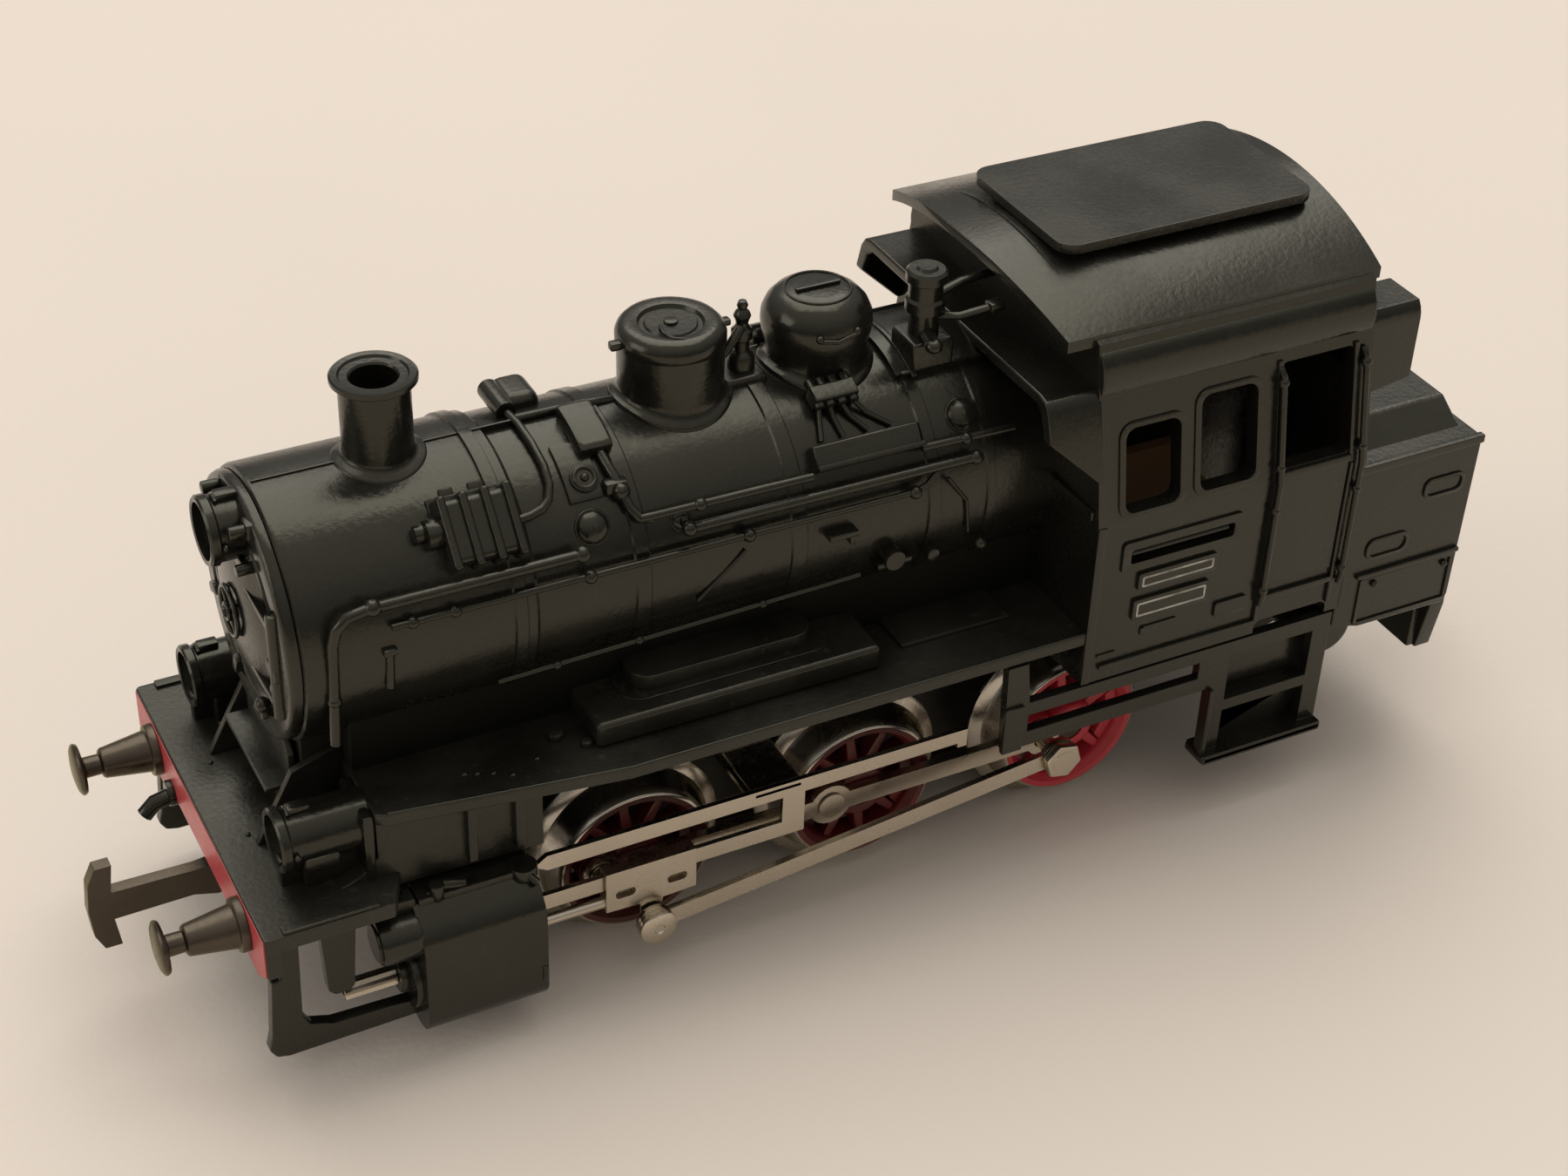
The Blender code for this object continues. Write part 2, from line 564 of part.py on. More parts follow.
def build_reverser():
    """The reversing relay over the motor: its frame, coil and sprung armature lever."""
    base = [(-32.0, 30.6), (-16.4, 30.6), (-16.4, 31.3), (-31.2, 31.3), (-31.2, 37.6), (-32.0, 37.6)]
    plate("relay_frame", "XZ", (-3.6, 3.6), [base], "steel")
    coil = turned("relay_coil", [(0, -19.6), (2.9, -19.6), (2.9, -20.2), (2.3, -20.2), (2.3, -29.9),
                                 (2.9, -29.9), (2.9, -30.9),
                  (0, -30.9)], (0, 0, 34.5), "X", paint="copper", steps=20)
    stem = box("relay_coil_foot", (-26, -24), (-0.8, 0.8), (31.36, 33.5))
    join(coil, stem)
    lever = plate("relay_lever", "XZ", (-2.4, 2.4), [[(-18.6, 31.9), (-17.9, 31.9), (-17.9, 38.2),
                                                      (-14.6, 38.9), (-14.6, 39.5),
                  (-18.6, 38.6)]], "steel")
    hang(pivot("relay_pivot", (-18.25, 0, 31.9)), lever)


def build_pickup():
    """The insulated plate under the chassis, its screw, and the sprung pickup shoe."""
    base = plate("pickup_plate", "XY", (3.35, 4.2), [rounded((-20, 16), (-3.6, 3.6), 1.0)], "paxolin")
    cut(base, rod("pickup_screw_seat", "Z", (-2, 0), 1.45, (3, 3.9)))
    rod("pickup_screw", "Z", (-2, 0), 1.38, (3.45, 3.86), "brass")
    leaf = [(-12.5, 0.95), (-12.5, 0.8), (12.5, 0.8), (12.5, 0.95), (5.0, 1.75), (-5.0, 1.75)]
    ski = [(-23, 1.4), (-21, 0.4), (21, 0.4), (23, 1.4), (22.9, 1.75), (20.8, 0.8), (-20.8, 0.8),
           (-22.9, 1.75)]
    shoe = plate("pickup_shoe", "XZ", (-1.6, 1.6), [ski], "steel")
    spring = plate("pickup_spring", "XZ", (-0.9, 0.9), [[(x, z + 0.05) for x, z in leaf]], "brass")
    hang(pivot("pickup_pivot", (0, 0, 0.6)), shoe, spring)


def build_wheel(axle, side):
    """A cast wheel: flanged tyre, spoked centre, crank boss and, but for the rear axle, its own pin."""
    sign = SIDE[side]
    bore = AXLE_R + 0.05
    profile = [(HUB_R, 10.2), (HUB_R, 9.0), (RIM_R - 0.2, 9.0), (RIM_R, 9.8), (TREAD_R - 0.15, 10.0),
               (TREAD_R, 9.8),
               (TREAD_R + 0.1, 8.1), (FLANGE_R, 7.6), (FLANGE_R, 7.1), (FLANGE_R - 0.1, 7.0), (bore, 7.0),
               (bore, 10.2)]
    name = f"wheel_{axle}_{side}"
    centre = (AXLE_X[axle], 0, AXLE_Z)
    wheel = turned(name, profile, centre, "Y", sign < 0, True, "wheel", 24)
    pin = crank(side, axle)
    windows = []
    for k in range(SPOKES):
        angle = CRANK_ANGLE[side] + math.pi * (2 * k + 1) / SPOKES
        wedge = []
        for radius, spread in ((2.75, 0.42), (5.05, 0.62)):
            half = spread * math.pi / SPOKES
            ends = (angle - half, angle + half) if radius < 4 else (angle + half, angle - half)
            wedge += [(centre[0] + radius * math.cos(a), AXLE_Z + radius * math.sin(a)) for a in ends]
        windows.append(plate(f"{name}_window_{k}", "XZ", sorted((sign * 6, sign * 9.6)), [wedge]))
    boss = rod(name + "_boss", "Y", pin, 1.5, (sign * 7.5, sign * 10.2), sides=16)
    join(cut(wheel, *windows), boss)
    if axle == "rear":
        cut(wheel, rod(name + "_thread", "Y", pin, PIN_R + 0.05, (sign * 8.4, sign * 11), sides=16))
    else:
        shank = rod(name + "_pin", "Y", pin, PIN_R, (sign * 10.0, sign * 11.15), sides=16)
        head = rod(name + "_pin_head", "Y", pin, 1.05, tuple(sign * y for y in PIN_HEAD_Y), sides=16)
        join(wheel, shank, head)
    return wheel


def build_axles(drive_gear):
    for axle, x in AXLE_X.items():
        shaft = rod("axle_" + axle, "Y", (x, AXLE_Z), AXLE_R, (-10.1, 10.1), "steel", 24)
        turning = pivot("axle_pivot_" + axle, (x, 0, AXLE_Z))
        hang(turning, shaft, build_wheel(axle, "left"), build_wheel(axle, "right"))
        if axle == "rear":
            hang(turning, drive_gear, build_crank_screw("left"), build_crank_screw("right"))


def build_crank_screw(side):
    """The hexagon-headed screw that carries the big end on the rear wheel."""
    sign = SIDE[side]
    centre = crank(side, "rear")
    screw = rod("crank_screw_" + side, "Y", centre, PIN_R, (sign * 8.5, sign * 13.6), "nickel", 16)
    head = rod("crank_head_" + side, "Y", centre, 1.6, tuple(sign * y for y in SCREW_HEAD_Y), sides=6,
               turn=0.3)
    return join(screw, head)


def bar_outline(start, end, half, start_r, end_r):
    """A rod between two eyes: a long bar with a round end at each."""
    slope = math.degrees(angle_between(start, end))
    lead = math.degrees(math.asin(half / start_r))
    tail = math.degrees(math.asin(half / end_r))
    return arc(start, start_r, slope + lead, slope + 360 - lead, 14) + arc(end, end_r, slope + 180 + tail,
                                                                           slope + 540 - tail, 14)


def build_rods():
    """Coupling rods on the middle crank pins and connecting rods on the rear ones."""
    for side, sign in SIDE.items():
        front, middle, rear = (crank(side, axle) for axle in ("front", "middle", "rear"))
        across = sorted(sign * y for y in COUPLING_Y)
        coupling = plate("coupling_rod_" + side, "XZ", across, [bar_outline(rear, front, 0.75, 1.45, 1.45)],
                         "nickel")
        eye = rod("coupling_eye_" + side, "Y", middle, 1.7, across)
        holes = [rod(f"coupling_hole_{side}_{k}", "Y", place, PIN_R + 0.09, (sign * 9, sign * 13), sides=16)
                 for k, place in enumerate((front, middle, rear))]
        cut(join(coupling, eye), *holes)
        hang(pivot("coupling_pivot_" + side, (middle[0], sign * 10.6, middle[1])), coupling)
        wrist = wrist_point(side)
        across = sorted(sign * y for y in CONROD_Y)
        connecting = plate("connecting_rod_" + side, "XZ", across,
                           [bar_outline(rear, wrist, 0.7, 1.5, 1.35),
                           circle(rear, PIN_R + 0.09, 16), circle(wrist, 0.6, 16)], "nickel")
        pin = rod("wrist_screw_" + side, "Y", wrist, 0.55, (sign * 12.75, sign * 13.6), "nickel", 16)
        join(pin, rod("wrist_head_" + side, "Y", wrist, 1.45, tuple(sign * y for y in SCREW_HEAD_Y),
                      sides=20))
        hang(pivot("connecting_pivot_" + side, (rear[0], sign * 13.05, rear[1])), connecting, pin)


def wrist_point(side):
    """The wrist pin at rest, from the crank angle: it runs level, a rod's length ahead of the crank."""
    pin_x, pin_z = crank(side, "rear")
    length = math.hypot(WRIST[0] - AXLE_X["rear"], WRIST[1] - AXLE_Z)
    return pin_x + math.sqrt(length**2 - (pin_z - WRIST[1] - 0.5) ** 2), WRIST[1] + 0.5


def build_slide_gear():
    """On each side a pressed guide plate, and the crosshead with its piston rod that runs on it."""
    for side, sign in SIDE.items():
        across = sorted(sign * y for y in GUIDE_Y)
        low, top, rear = GUIDE_LOW_Z, GUIDE_TOP_Z, GUIDE_REAR_X
        outline = [(rear, low[0]), (28.9, low[0]), (28.9, low[1]), (10.0, low[1]), (10.0, top[0]),
                   (28.2, top[0]), (29.2, 11.9),
                   (28.2, top[1]), (-5.2, top[1] - 0.05), (-5.2, 11.0), (-4.4, 11.0), (-4.4, top[0] + 0.1),
                   (rear, top[0] + 0.05)]
        guide = plate("guide_plate_" + side, "XZ", across, [outline], "nickel")
        bracket = plate("guide_bracket_" + side, "XY", (11.85, 12.25),
                        [rounded((10.1, 12.7), sorted((sign * 3.2, sign * 12.1)), 0.3)])
        join(guide, bracket)
        wrist = wrist_point(side)
        middle = wrist[0]
        across = sorted(sign * y for y in SLEEVE_Y)
        sleeve = plate("crosshead_" + side, "XZ", across, [[(middle - 3.5, 6.0), (middle - 0.9, 5.9),
                                                            (middle - 0.6, 3.4),
                       (middle + 0.6, 3.4), (middle + 0.9, 5.9), (middle + 3.5, 6.0), (middle + 3.5, 9.5),
                                                            (middle - 3.5, 9.5)]],
                       "nickel")
        trim = box("crosshead_lug_relief_" + side, (middle - 1.5, middle + 1.5),
                   sorted((sign * 11, sign * 12.0)), (3, 5.8))
        channel = box("crosshead_channel_" + side, (middle - 5, middle + 5),
                      sorted((sign * 11.65, sign * 12.3)),
                      (low[0] - 0.1, low[1] + 0.1))
        slots = [plate(f"crosshead_slot_{side}_{k}", "XZ", sorted((sign * 12, sign * 13)),
                       [rounded((middle + x - 0.75, middle + x + 0.75), (7.0, 7.7), 0.3)]) for k,
                 x in enumerate((-2.0, 2.0))]
        piston = rod("piston_rod_" + side, "X", (sign * PISTON[0], PISTON[1]), 0.45,
                     (middle + 3.3, middle + 16.8), sides=12)
        join(cut(sleeve, trim, channel, *slots), piston)
        hang(pivot("crosshead_pivot_" + side, (middle, sign * PISTON[0], PISTON[1])), sleeve)


def build_cylinders():
    """One moulding under the front: both cylinders, their valve chests and the guard irons."""
    casing = [(9.6, 2.6), (13.6, 2.3), (15.1, 3.3), (15.6, 4.8), (15.6, 10.4), (14.6, 12.0), (12.8, 13.2),
              (9.6, 13.2)]
    block = box("cylinder_block", (29.8, 38.2), (-10.0, 10.0), (12.2, 13.2), "body")
    cut(block, rod("boss_clearance", "Z", (CHIMNEY_X, 0), 2.5, (11, 14)))
    for side, sign in SIDE.items():
        py, pz = sign * PISTON[0], PISTON[1]
        join(
            block,
            plate("cylinder_" + side, "YZ", (29.6, 38.5), [[(sign * y, z) for y, z in casing]]),
            rod("valve_cap_" + side, "X", (sign * 13.6, 10.9), 1.75, (38.2, 41.2)),
            rod("piston_cover_" + side, "X", (sign * 12.4, 6.4), 2.7, (38.2, 39.6)),
            plate("guard_iron_" + side, "XZ", sorted((sign * 12.4, sign * 13.4)),
                  [[(46.3, 13.0), (46.6, 5.0), (44.5, 4.6),
                  (38.0, 4.6), (38.0, 3.0), (48.2, 3.0), (49.0, 3.6), (48.5, 6.0), (48.4, 10.0),
                    (47.7, 10.1), (47.7, 13.0)]]),
            plate("guard_tab_" + side, "XZ", sorted((sign * 12.4, sign * 13.4)),
                  [[(42.4, 13.2), (42.7, 7.3), (44.5, 7.3),
                  (44.9, 13.2)]]),
            box("guard_rail_" + side, (38.0, 47.4), sorted((sign * 11.6, sign * 13.4)), (12.5, 13.5)),
        )
        cut(block, rod("gland_" + side, "X", (py, pz), 0.52, (29, 37.6), sides=16))
        tube = rod("piston_tube_" + side, "X", (sign * 12.4, 6.4), 0.75, (39.65, 43.4), "nickel", 16)
        cut(tube, rod("tube_bore_" + side, "X", (sign * 12.4, 6.4), 0.45, (40.5, 44), sides=12))


def build_step_frames():
    """The lower frame strip and the cab steps that hang from each side of the body."""
    for side, sign in SIDE.items():
        across = sorted((sign * 14.3, sign * 15.1))
        outer = [(-6.3, 19.6), (-6.5, 12.0), (-24.6, 12.0), (-24.6, 5.6), (-26.2, 5.6), (-26.2, 9.4),
                 (-33.8, 9.4), (-33.8, 5.6),
                 (-35.4, 5.6), (-35.4, 15.95), (-8.4, 15.95), (-8.0, 19.6)]
        window = [(-8.4, 13.3), (-8.4, 14.8), (-23.4, 14.8), (-23.4, 13.3)]
        gap = [(-26.2, 10.4), (-26.2, 14.6), (-33.8, 14.6), (-33.8, 10.4)]
        frame = plate("step_frame_" + side, "XZ", across, [outer, window, gap], "body")
        join(
            frame,
            box("lower_step_" + side, (-35.4, -24.6), sorted((sign * 13.4, sign * 15.9)), (5.1, 5.9)),
            box("upper_step_" + side, (-33.9, -26.1), sorted((sign * 13.4, sign * 15.1)), (9.5, 10.2)),
        )


for old in list(bpy.data.objects):
    bpy.data.objects.remove(old)

PARTS = collection("tank_locomotive")
HELPERS = collection("helpers")
FINISH = {
    "body": material("satin_black_plastic", (0.02, 0.02, 0.018), 0.42),
    "cast": material("blackened_die_casting", (0.035, 0.034, 0.032), 0.5, 0.6),
    "steel": material("burnished_steel", (0.16, 0.14, 0.12), 0.35, 0.9),
    "nickel": material("nickel_plate", (0.62, 0.57, 0.49), 0.3, 1.0),
    "wheel": material("red_wheel_casting", (0.45, 0.02, 0.04), 0.4),
    "brass": material("brass", (0.62, 0.45, 0.18), 0.3, 1.0),
    "copper": material("enamelled_copper", (0.5, 0.17, 0.07), 0.35, 0.7),
    "paxolin": material("brown_insulating_board", (0.16, 0.08, 0.04), 0.6),
    "carbon": material("brush_carbon", (0.03, 0.03, 0.03), 0.6),
    "lens": material("clear_lens", (0.7, 0.7, 0.68), 0.1),
}

build_shell()
build_front_and_lamps()
build_buffers_and_hooks()
build_chassis()
drive_gear, armature_pinion = build_gears()
build_motor(armature_pinion)
build_reverser()
build_pickup()
build_axles(drive_gear)
build_rods()
build_slide_gear()
build_cylinders()
build_step_frames()
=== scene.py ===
"""Looks for a six-wheeled tank locomotive: its pieces, finishes and studio.

Sizes are in millimetres unless a property says otherwise, and MM turns them into metres.
+X is the chimney end, +Y the left side and +Z up, as in the frame that is loaded first.
"""

import json
import math

import bpy
from mathutils import Matrix, Vector

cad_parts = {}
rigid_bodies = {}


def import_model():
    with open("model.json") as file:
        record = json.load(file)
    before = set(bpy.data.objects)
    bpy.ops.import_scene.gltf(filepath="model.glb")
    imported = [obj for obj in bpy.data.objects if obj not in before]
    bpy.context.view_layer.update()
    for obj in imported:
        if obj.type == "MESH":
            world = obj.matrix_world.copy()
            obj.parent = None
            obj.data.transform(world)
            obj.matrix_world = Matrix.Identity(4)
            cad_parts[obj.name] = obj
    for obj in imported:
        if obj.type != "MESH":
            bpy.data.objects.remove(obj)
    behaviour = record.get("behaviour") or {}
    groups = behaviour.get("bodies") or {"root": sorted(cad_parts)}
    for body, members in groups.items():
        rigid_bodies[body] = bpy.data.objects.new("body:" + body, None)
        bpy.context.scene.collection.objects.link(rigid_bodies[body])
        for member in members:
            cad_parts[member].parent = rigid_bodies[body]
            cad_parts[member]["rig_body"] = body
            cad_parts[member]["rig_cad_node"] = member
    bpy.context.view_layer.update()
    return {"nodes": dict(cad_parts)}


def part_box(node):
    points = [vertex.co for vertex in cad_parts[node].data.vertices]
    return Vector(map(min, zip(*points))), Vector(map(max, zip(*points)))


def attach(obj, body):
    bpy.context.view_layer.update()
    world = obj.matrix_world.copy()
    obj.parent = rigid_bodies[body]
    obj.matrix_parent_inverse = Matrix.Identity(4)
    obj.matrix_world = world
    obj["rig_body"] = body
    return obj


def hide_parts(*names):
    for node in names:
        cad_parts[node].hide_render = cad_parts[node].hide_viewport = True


bl_info = {
    "name": "Tank locomotive",
    "version": (1, 0, 0),
    "blender": (4, 5, 0),
    "location": "3D View > Sidebar > Locomotive",
    "description": "Builds the visible pieces and finishes of a model tank locomotive",
    "category": "Add Mesh",
}

MM = 0.001
MERGE = 0.0000015
SIDES = {"left": 1, "right": -1}
AXLES = ("front", "middle", "rear")

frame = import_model()


# Places read from the frame


def low_high(node, axis):
    """A node's lowest and highest coordinate along an axis, in millimetres."""
    low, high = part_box(node)
    return low["XYZ".index(axis)] / MM, high["XYZ".index(axis)] / MM


def middle(node):
    """The middle of a node's box, in millimetres."""
    return [sum(low_high(node, axis)) / 2 for axis in "XYZ"]


FRONT_RING_R = 8.7
BOILER_Z = low_high("smokebox_front", "Z")[0] + FRONT_RING_R
SMOKEBOX_FRONT = low_high("smokebox_front", "X")[0] - 0.05
CHIMNEY_X = middle("body_screw")[0]
AXLE_Z = middle("axle_rear")[2]
BEAM_FRONT = low_high("body_shell", "X")[1]
BEAM_REAR = low_high("body_shell", "X")[0]
HALF_WIDTH = low_high("body_shell", "Y")[1]
ROOF_TOP = low_high("body_shell", "Z")[1] - 0.8
CAB_FRONT = -12.7
CAB_REAR = -36.0
CAB_FOOT = 16.1
WAIST_Z = 29.8
EAVE_Y = 12.6
EAVE_Z = 43.4
WALL = 1.2
LEAN = math.atan2(HALF_WIDTH - EAVE_Y, EAVE_Z - WAIST_Z)
BUNKER_REAR = -47.1
BUNKER_TOP = 28.7
SAND_DOME_X = 13.4
STEAM_DOME_X = 2.3


# Modelling tools


def active(obj):
    """Selects one object only and makes it the active one."""
    for other in list(bpy.context.selected_objects):
        other.select_set(False)
    obj.select_set(True)
    bpy.context.view_layer.objects.active = obj
    return obj


def settled(obj):
    """Puts an object's place, turn and scale into its mesh."""
    active(obj)
    bpy.ops.object.transform_apply(location=True, rotation=True, scale=True)
    return obj


def applied(obj, kind, **values):
    """Adds a modifier with these values and applies it."""
    active(obj)
    bpy.ops.object.modifier_add(type=kind)
    modifier = obj.modifiers[-1]
    for key, value in values.items():
        setattr(modifier, key, value)
    bpy.ops.object.modifier_apply(modifier=modifier.name)
    return obj


def cleaned(obj):
    """Merges doubled points and turns every face outwards."""
    active(obj)
    bpy.ops.object.mode_set(mode="EDIT")
    bpy.ops.mesh.select_all(action="SELECT")
    bpy.ops.mesh.remove_doubles(threshold=MERGE)
    bpy.ops.mesh.normals_make_consistent(inside=False)
    bpy.ops.object.mode_set(mode="OBJECT")
    return obj


def softened(obj, width=0.15, segments=2, angle=32):
    """Rounds the edges that are sharper than an angle in degrees."""
    return applied(
        obj, "BEVEL", width=width * MM, segments=segments, limit_method="ANGLE",
        angle_limit=math.radians(angle)
    )


def cut(obj, *cutters):
    for cutter in cutters:
        applied(obj, "BOOLEAN", operation="DIFFERENCE", object=cutter, solver="EXACT")
        bpy.data.objects.remove(cutter)
    return obj


def moved(obj, matrix):
    obj.data.transform(matrix)
    return obj


def block(x, y, z, bevel=0.15, segments=2):
    """A block between the two values given for each axis."""
    size = [abs(pair[1] - pair[0]) * MM for pair in (x, y, z)]
    place = [sum(pair) / 2 * MM for pair in (x, y, z)]
    bpy.ops.mesh.primitive_cube_add(size=1, location=place, scale=size)
    obj = settled(bpy.context.object)
    return softened(obj, bevel, segments) if bevel else obj


TURN = {
    "X": Matrix.Rotation(math.radians(90), 4, "Y"),
    "Y": Matrix.Rotation(math.radians(-90), 4, "X"),
    "Z": Matrix.Identity(4),
}


def drum(axis, centre, radius, span, tip=None, sides=40, bevel=0.12, turn=0.0):
    """A cylinder or cone along an axis. centre holds the other two coordinates, in X, Y, Z order."""
    low, high = sorted(span)
    place = list(centre)
    place.insert("XYZ".index(axis), (low + high) / 2)
    bpy.ops.mesh.primitive_cone_add(
        vertices=sides, radius1=radius * MM, radius2=(radius if tip is None else tip) * MM,
        depth=(high - low) * MM
    )
    obj = bpy.context.object
    moved(obj, Matrix.Translation(Vector(place) * MM) @ TURN[axis] @ Matrix.Rotation(turn, 4, "Z"))
    return softened(obj, bevel, 2, 40) if bevel else obj


def ball(place, radius, squash=(1, 1, 1), segments=20):
    bpy.ops.mesh.primitive_uv_sphere_add(segments=segments, ring_count=segments // 2, radius=radius * MM)
    obj = bpy.context.object
    return moved(obj, Matrix.Translation(Vector(place) * MM) @ Matrix.Diagonal((*squash, 1)))


def ring(axis, place, radius, thickness, squash=1.0, segments=40):
    bpy.ops.mesh.primitive_torus_add(
        major_radius=radius * MM, minor_radius=thickness * MM, major_segments=segments, minor_segments=10
    )
    obj = bpy.context.object
    return moved(obj, Matrix.Translation(Vector(place) * MM) @ TURN[axis] @ Matrix.Diagonal((1, 1, squash,
                                                                                             1)))


def curve_object(points, closed, flat):
    curve = bpy.data.curves.new("line", "CURVE")
    curve.dimensions = "2D" if flat else "3D"
    for outline in points:
        spline = curve.splines.new("POLY")
        spline.points.add(len(outline) - 1)
        for point, place in zip(spline.points, outline):
            point.co = (*(value * MM for value in place), *([0] * (3 - len(place))), 1)
        spline.use_cyclic_u = closed
    obj = bpy.data.objects.new("line", curve)
    bpy.context.scene.collection.objects.link(obj)
    return obj


def made_mesh(obj):
    active(obj)
    bpy.ops.object.convert(target="MESH")
    return bpy.context.object


def lathe(profile, axis, centre, closed=False, steps=64):
    """A turned shape. The profile is (radius, height along the axis) pairs."""
    obj = made_mesh(curve_object([[(radius, 0, height) for radius, height in profile]], closed, False))
    bpy.ops.object.mode_set(mode="EDIT")
    bpy.ops.mesh.select_all(action="SELECT")
    bpy.ops.mesh.spin(steps=steps, angle=2 * math.pi, center=(0, 0, 0), axis=(0, 0, 1))
    bpy.ops.object.mode_set(mode="OBJECT")
    moved(obj, Matrix.Translation(Vector(centre) * MM) @ TURN[axis])
    return cleaned(obj)


PLANES = {
    "XZ": Matrix.Rotation(math.radians(90), 4, "X"),
    "YZ": Matrix(((0, 0, 1, 0), (1, 0, 0, 0), (0, 1, 0, 0), (0, 0, 0, 1))),
    "XY": Matrix.Identity(4),
}
THROUGH = {"XZ": (0, 1, 0), "YZ": (1, 0, 0), "XY": (0, 0, 1)}


def plate(plane, span, outlines, bevel=0.12, segments=2):
    """A flat plate: closed outlines in a plane, the first its edge and the rest its openings."""
    obj = curve_object(outlines, True, True)
    obj.data.fill_mode = "BOTH"
    low, high = sorted(span)
    obj.data.extrude = (high - low) / 2 * MM
    obj = made_mesh(obj)
    shift = Vector(THROUGH[plane]) * ((low + high) / 2 * MM)
    moved(obj, Matrix.Translation(shift) @ PLANES[plane])
    cleaned(obj)
    return softened(obj, bevel, segments) if bevel else obj


def tube(points, radius, sides=3):
    """A pipe through points, with closed ends."""
    obj = curve_object([points], False, False)
    obj.data.bevel_depth = radius * MM
    obj.data.bevel_resolution = sides
    obj.data.use_fill_caps = True
    return cleaned(made_mesh(obj))


def joined(*shapes):
    shapes = [shape for shape in shapes if shape]
    active(shapes[0])
    for shape in shapes:
        shape.select_set(True)
    if len(shapes) > 1:
        bpy.ops.object.join()
    return bpy.context.object


def mirror_of(shape):
    """A copy on the other side of the centre line."""
    copy = shape.copy()
    copy.data = shape.data.copy()
    bpy.context.scene.collection.objects.link(copy)
    moved(copy, Matrix.Diagonal((1, -1, 1, 1)))
    active(copy)
    bpy.ops.object.mode_set(mode="EDIT")
    bpy.ops.mesh.select_all(action="SELECT")
    bpy.ops.mesh.flip_normals()
    bpy.ops.object.mode_set(mode="OBJECT")
    return copy


def both_sides(*shapes):
    shape = joined(*shapes)
    return joined(shape, mirror_of(shape))


def piece(name, shapes, finish, body, replaced=(), smooth=40):
    """Joins shapes into one named piece with its finish and body, standing for some nodes."""
    obj = joined(*shapes)
    obj.name = name
    obj.data.name = name
    bpy.ops.object.shade_smooth_by_angle(angle=math.radians(smooth))
    applied(obj, "WEIGHTED_NORMAL", keep_sharp=True)
    obj.data.materials.clear()
    obj.data.materials.append(finish)
    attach(obj, body)
    if replaced:
        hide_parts(*replaced)
    return obj


def refined(node, bevel, segments=2):
    """A copy of a node's own shape, merged to flat faces and with soft edges."""
    copy = frame["nodes"][node].copy()
    copy.data = frame["nodes"][node].data.copy()
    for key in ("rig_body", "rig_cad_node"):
        if key in copy:
            del copy[key]
    copy.parent = None
    copy.matrix_world = Matrix.Identity(4)
    bpy.context.scene.collection.objects.link(copy)
    active(copy)
    bpy.ops.mesh.customdata_custom_splitnormals_clear()
    bpy.ops.object.mode_set(mode="EDIT")
    bpy.ops.mesh.select_all(action="SELECT")
    bpy.ops.mesh.remove_doubles(threshold=MERGE)
    bpy.ops.mesh.dissolve_limited(angle_limit=math.radians(0.5))
    bpy.ops.object.mode_set(mode="OBJECT")
    return softened(copy, bevel, segments) if bevel else copy


def arc(centre, radius, start, end, count):
    """Points on a circle, from start to end in degrees."""
    turns = [math.radians(start + (end - start) * i / count) for i in range(count + 1)]
    return [(centre[0] + radius * math.cos(a), centre[1] + radius * math.sin(a)) for a in turns]


def circle(centre, radius, count=32):
    return arc(centre, radius, 0, 360, count)[:-1]


def rounded(x, y, radius, count=5):
    """A rectangle with round corners."""
    x, y = sorted(x), sorted(y)
    corners = [(x[1] - radius, y[0] + radius, -90), (x[1] - radius, y[1] - radius, 0),
               (x[0] + radius, y[1] - radius, 90), (x[0] + radius, y[0] + radius, 180)]
    return [point for cx, cy, start in corners for point in arc((cx, cy), radius, start, start + 90, count)]


def mirrored(outline):
    """An outline closed by its mirror image across the first coordinate."""
    return outline + [(-a, b) for a, b in reversed(outline) if abs(a) > 1e-9]


def swung(shape, angle):
    """Turns a shape made on the boiler's crown to an angle above the left side, in degrees."""
    pivot = Matrix.Translation((0, 0, BOILER_Z * MM))
    return moved(shape, pivot @ Matrix.Rotation(math.radians(angle - 90), 4, "X") @ pivot.inverted())


def leaned(shape):
    """Tips a shape made on the upright left side of the cab in with the wall above the waist."""
    pivot = Matrix.Translation((0, HALF_WIDTH * MM, WAIST_Z * MM))
    return moved(shape, pivot @ Matrix.Rotation(LEAN, 4, "X") @ pivot.inverted())


def wrapped(x, angles, radii, bevel=0.08, count=10):
    """A plate that follows the barrel between two angles."""
    centre = (0, BOILER_Z)
    outer = arc(centre, radii[1], angles[0], angles[1], count)
    inner = arc(centre, radii[0], angles[1], angles[0], count)
    return plate("YZ", x, [outer + inner], bevel)


def seated(shape, radius, top, foot):
    """Lets the foot of a fitting down onto the round barrel, less and less towards its top."""
    for vertex in shape.data.vertices:
        across, height = vertex.co.y / MM, vertex.co.z / MM
        share = min(1.0, max(0.0, (top - height) / (top - foot)))
        vertex.co.z -= (radius - math.sqrt(max(0.0, radius**2 - across**2))) * share * MM
    return shape


# Finishes


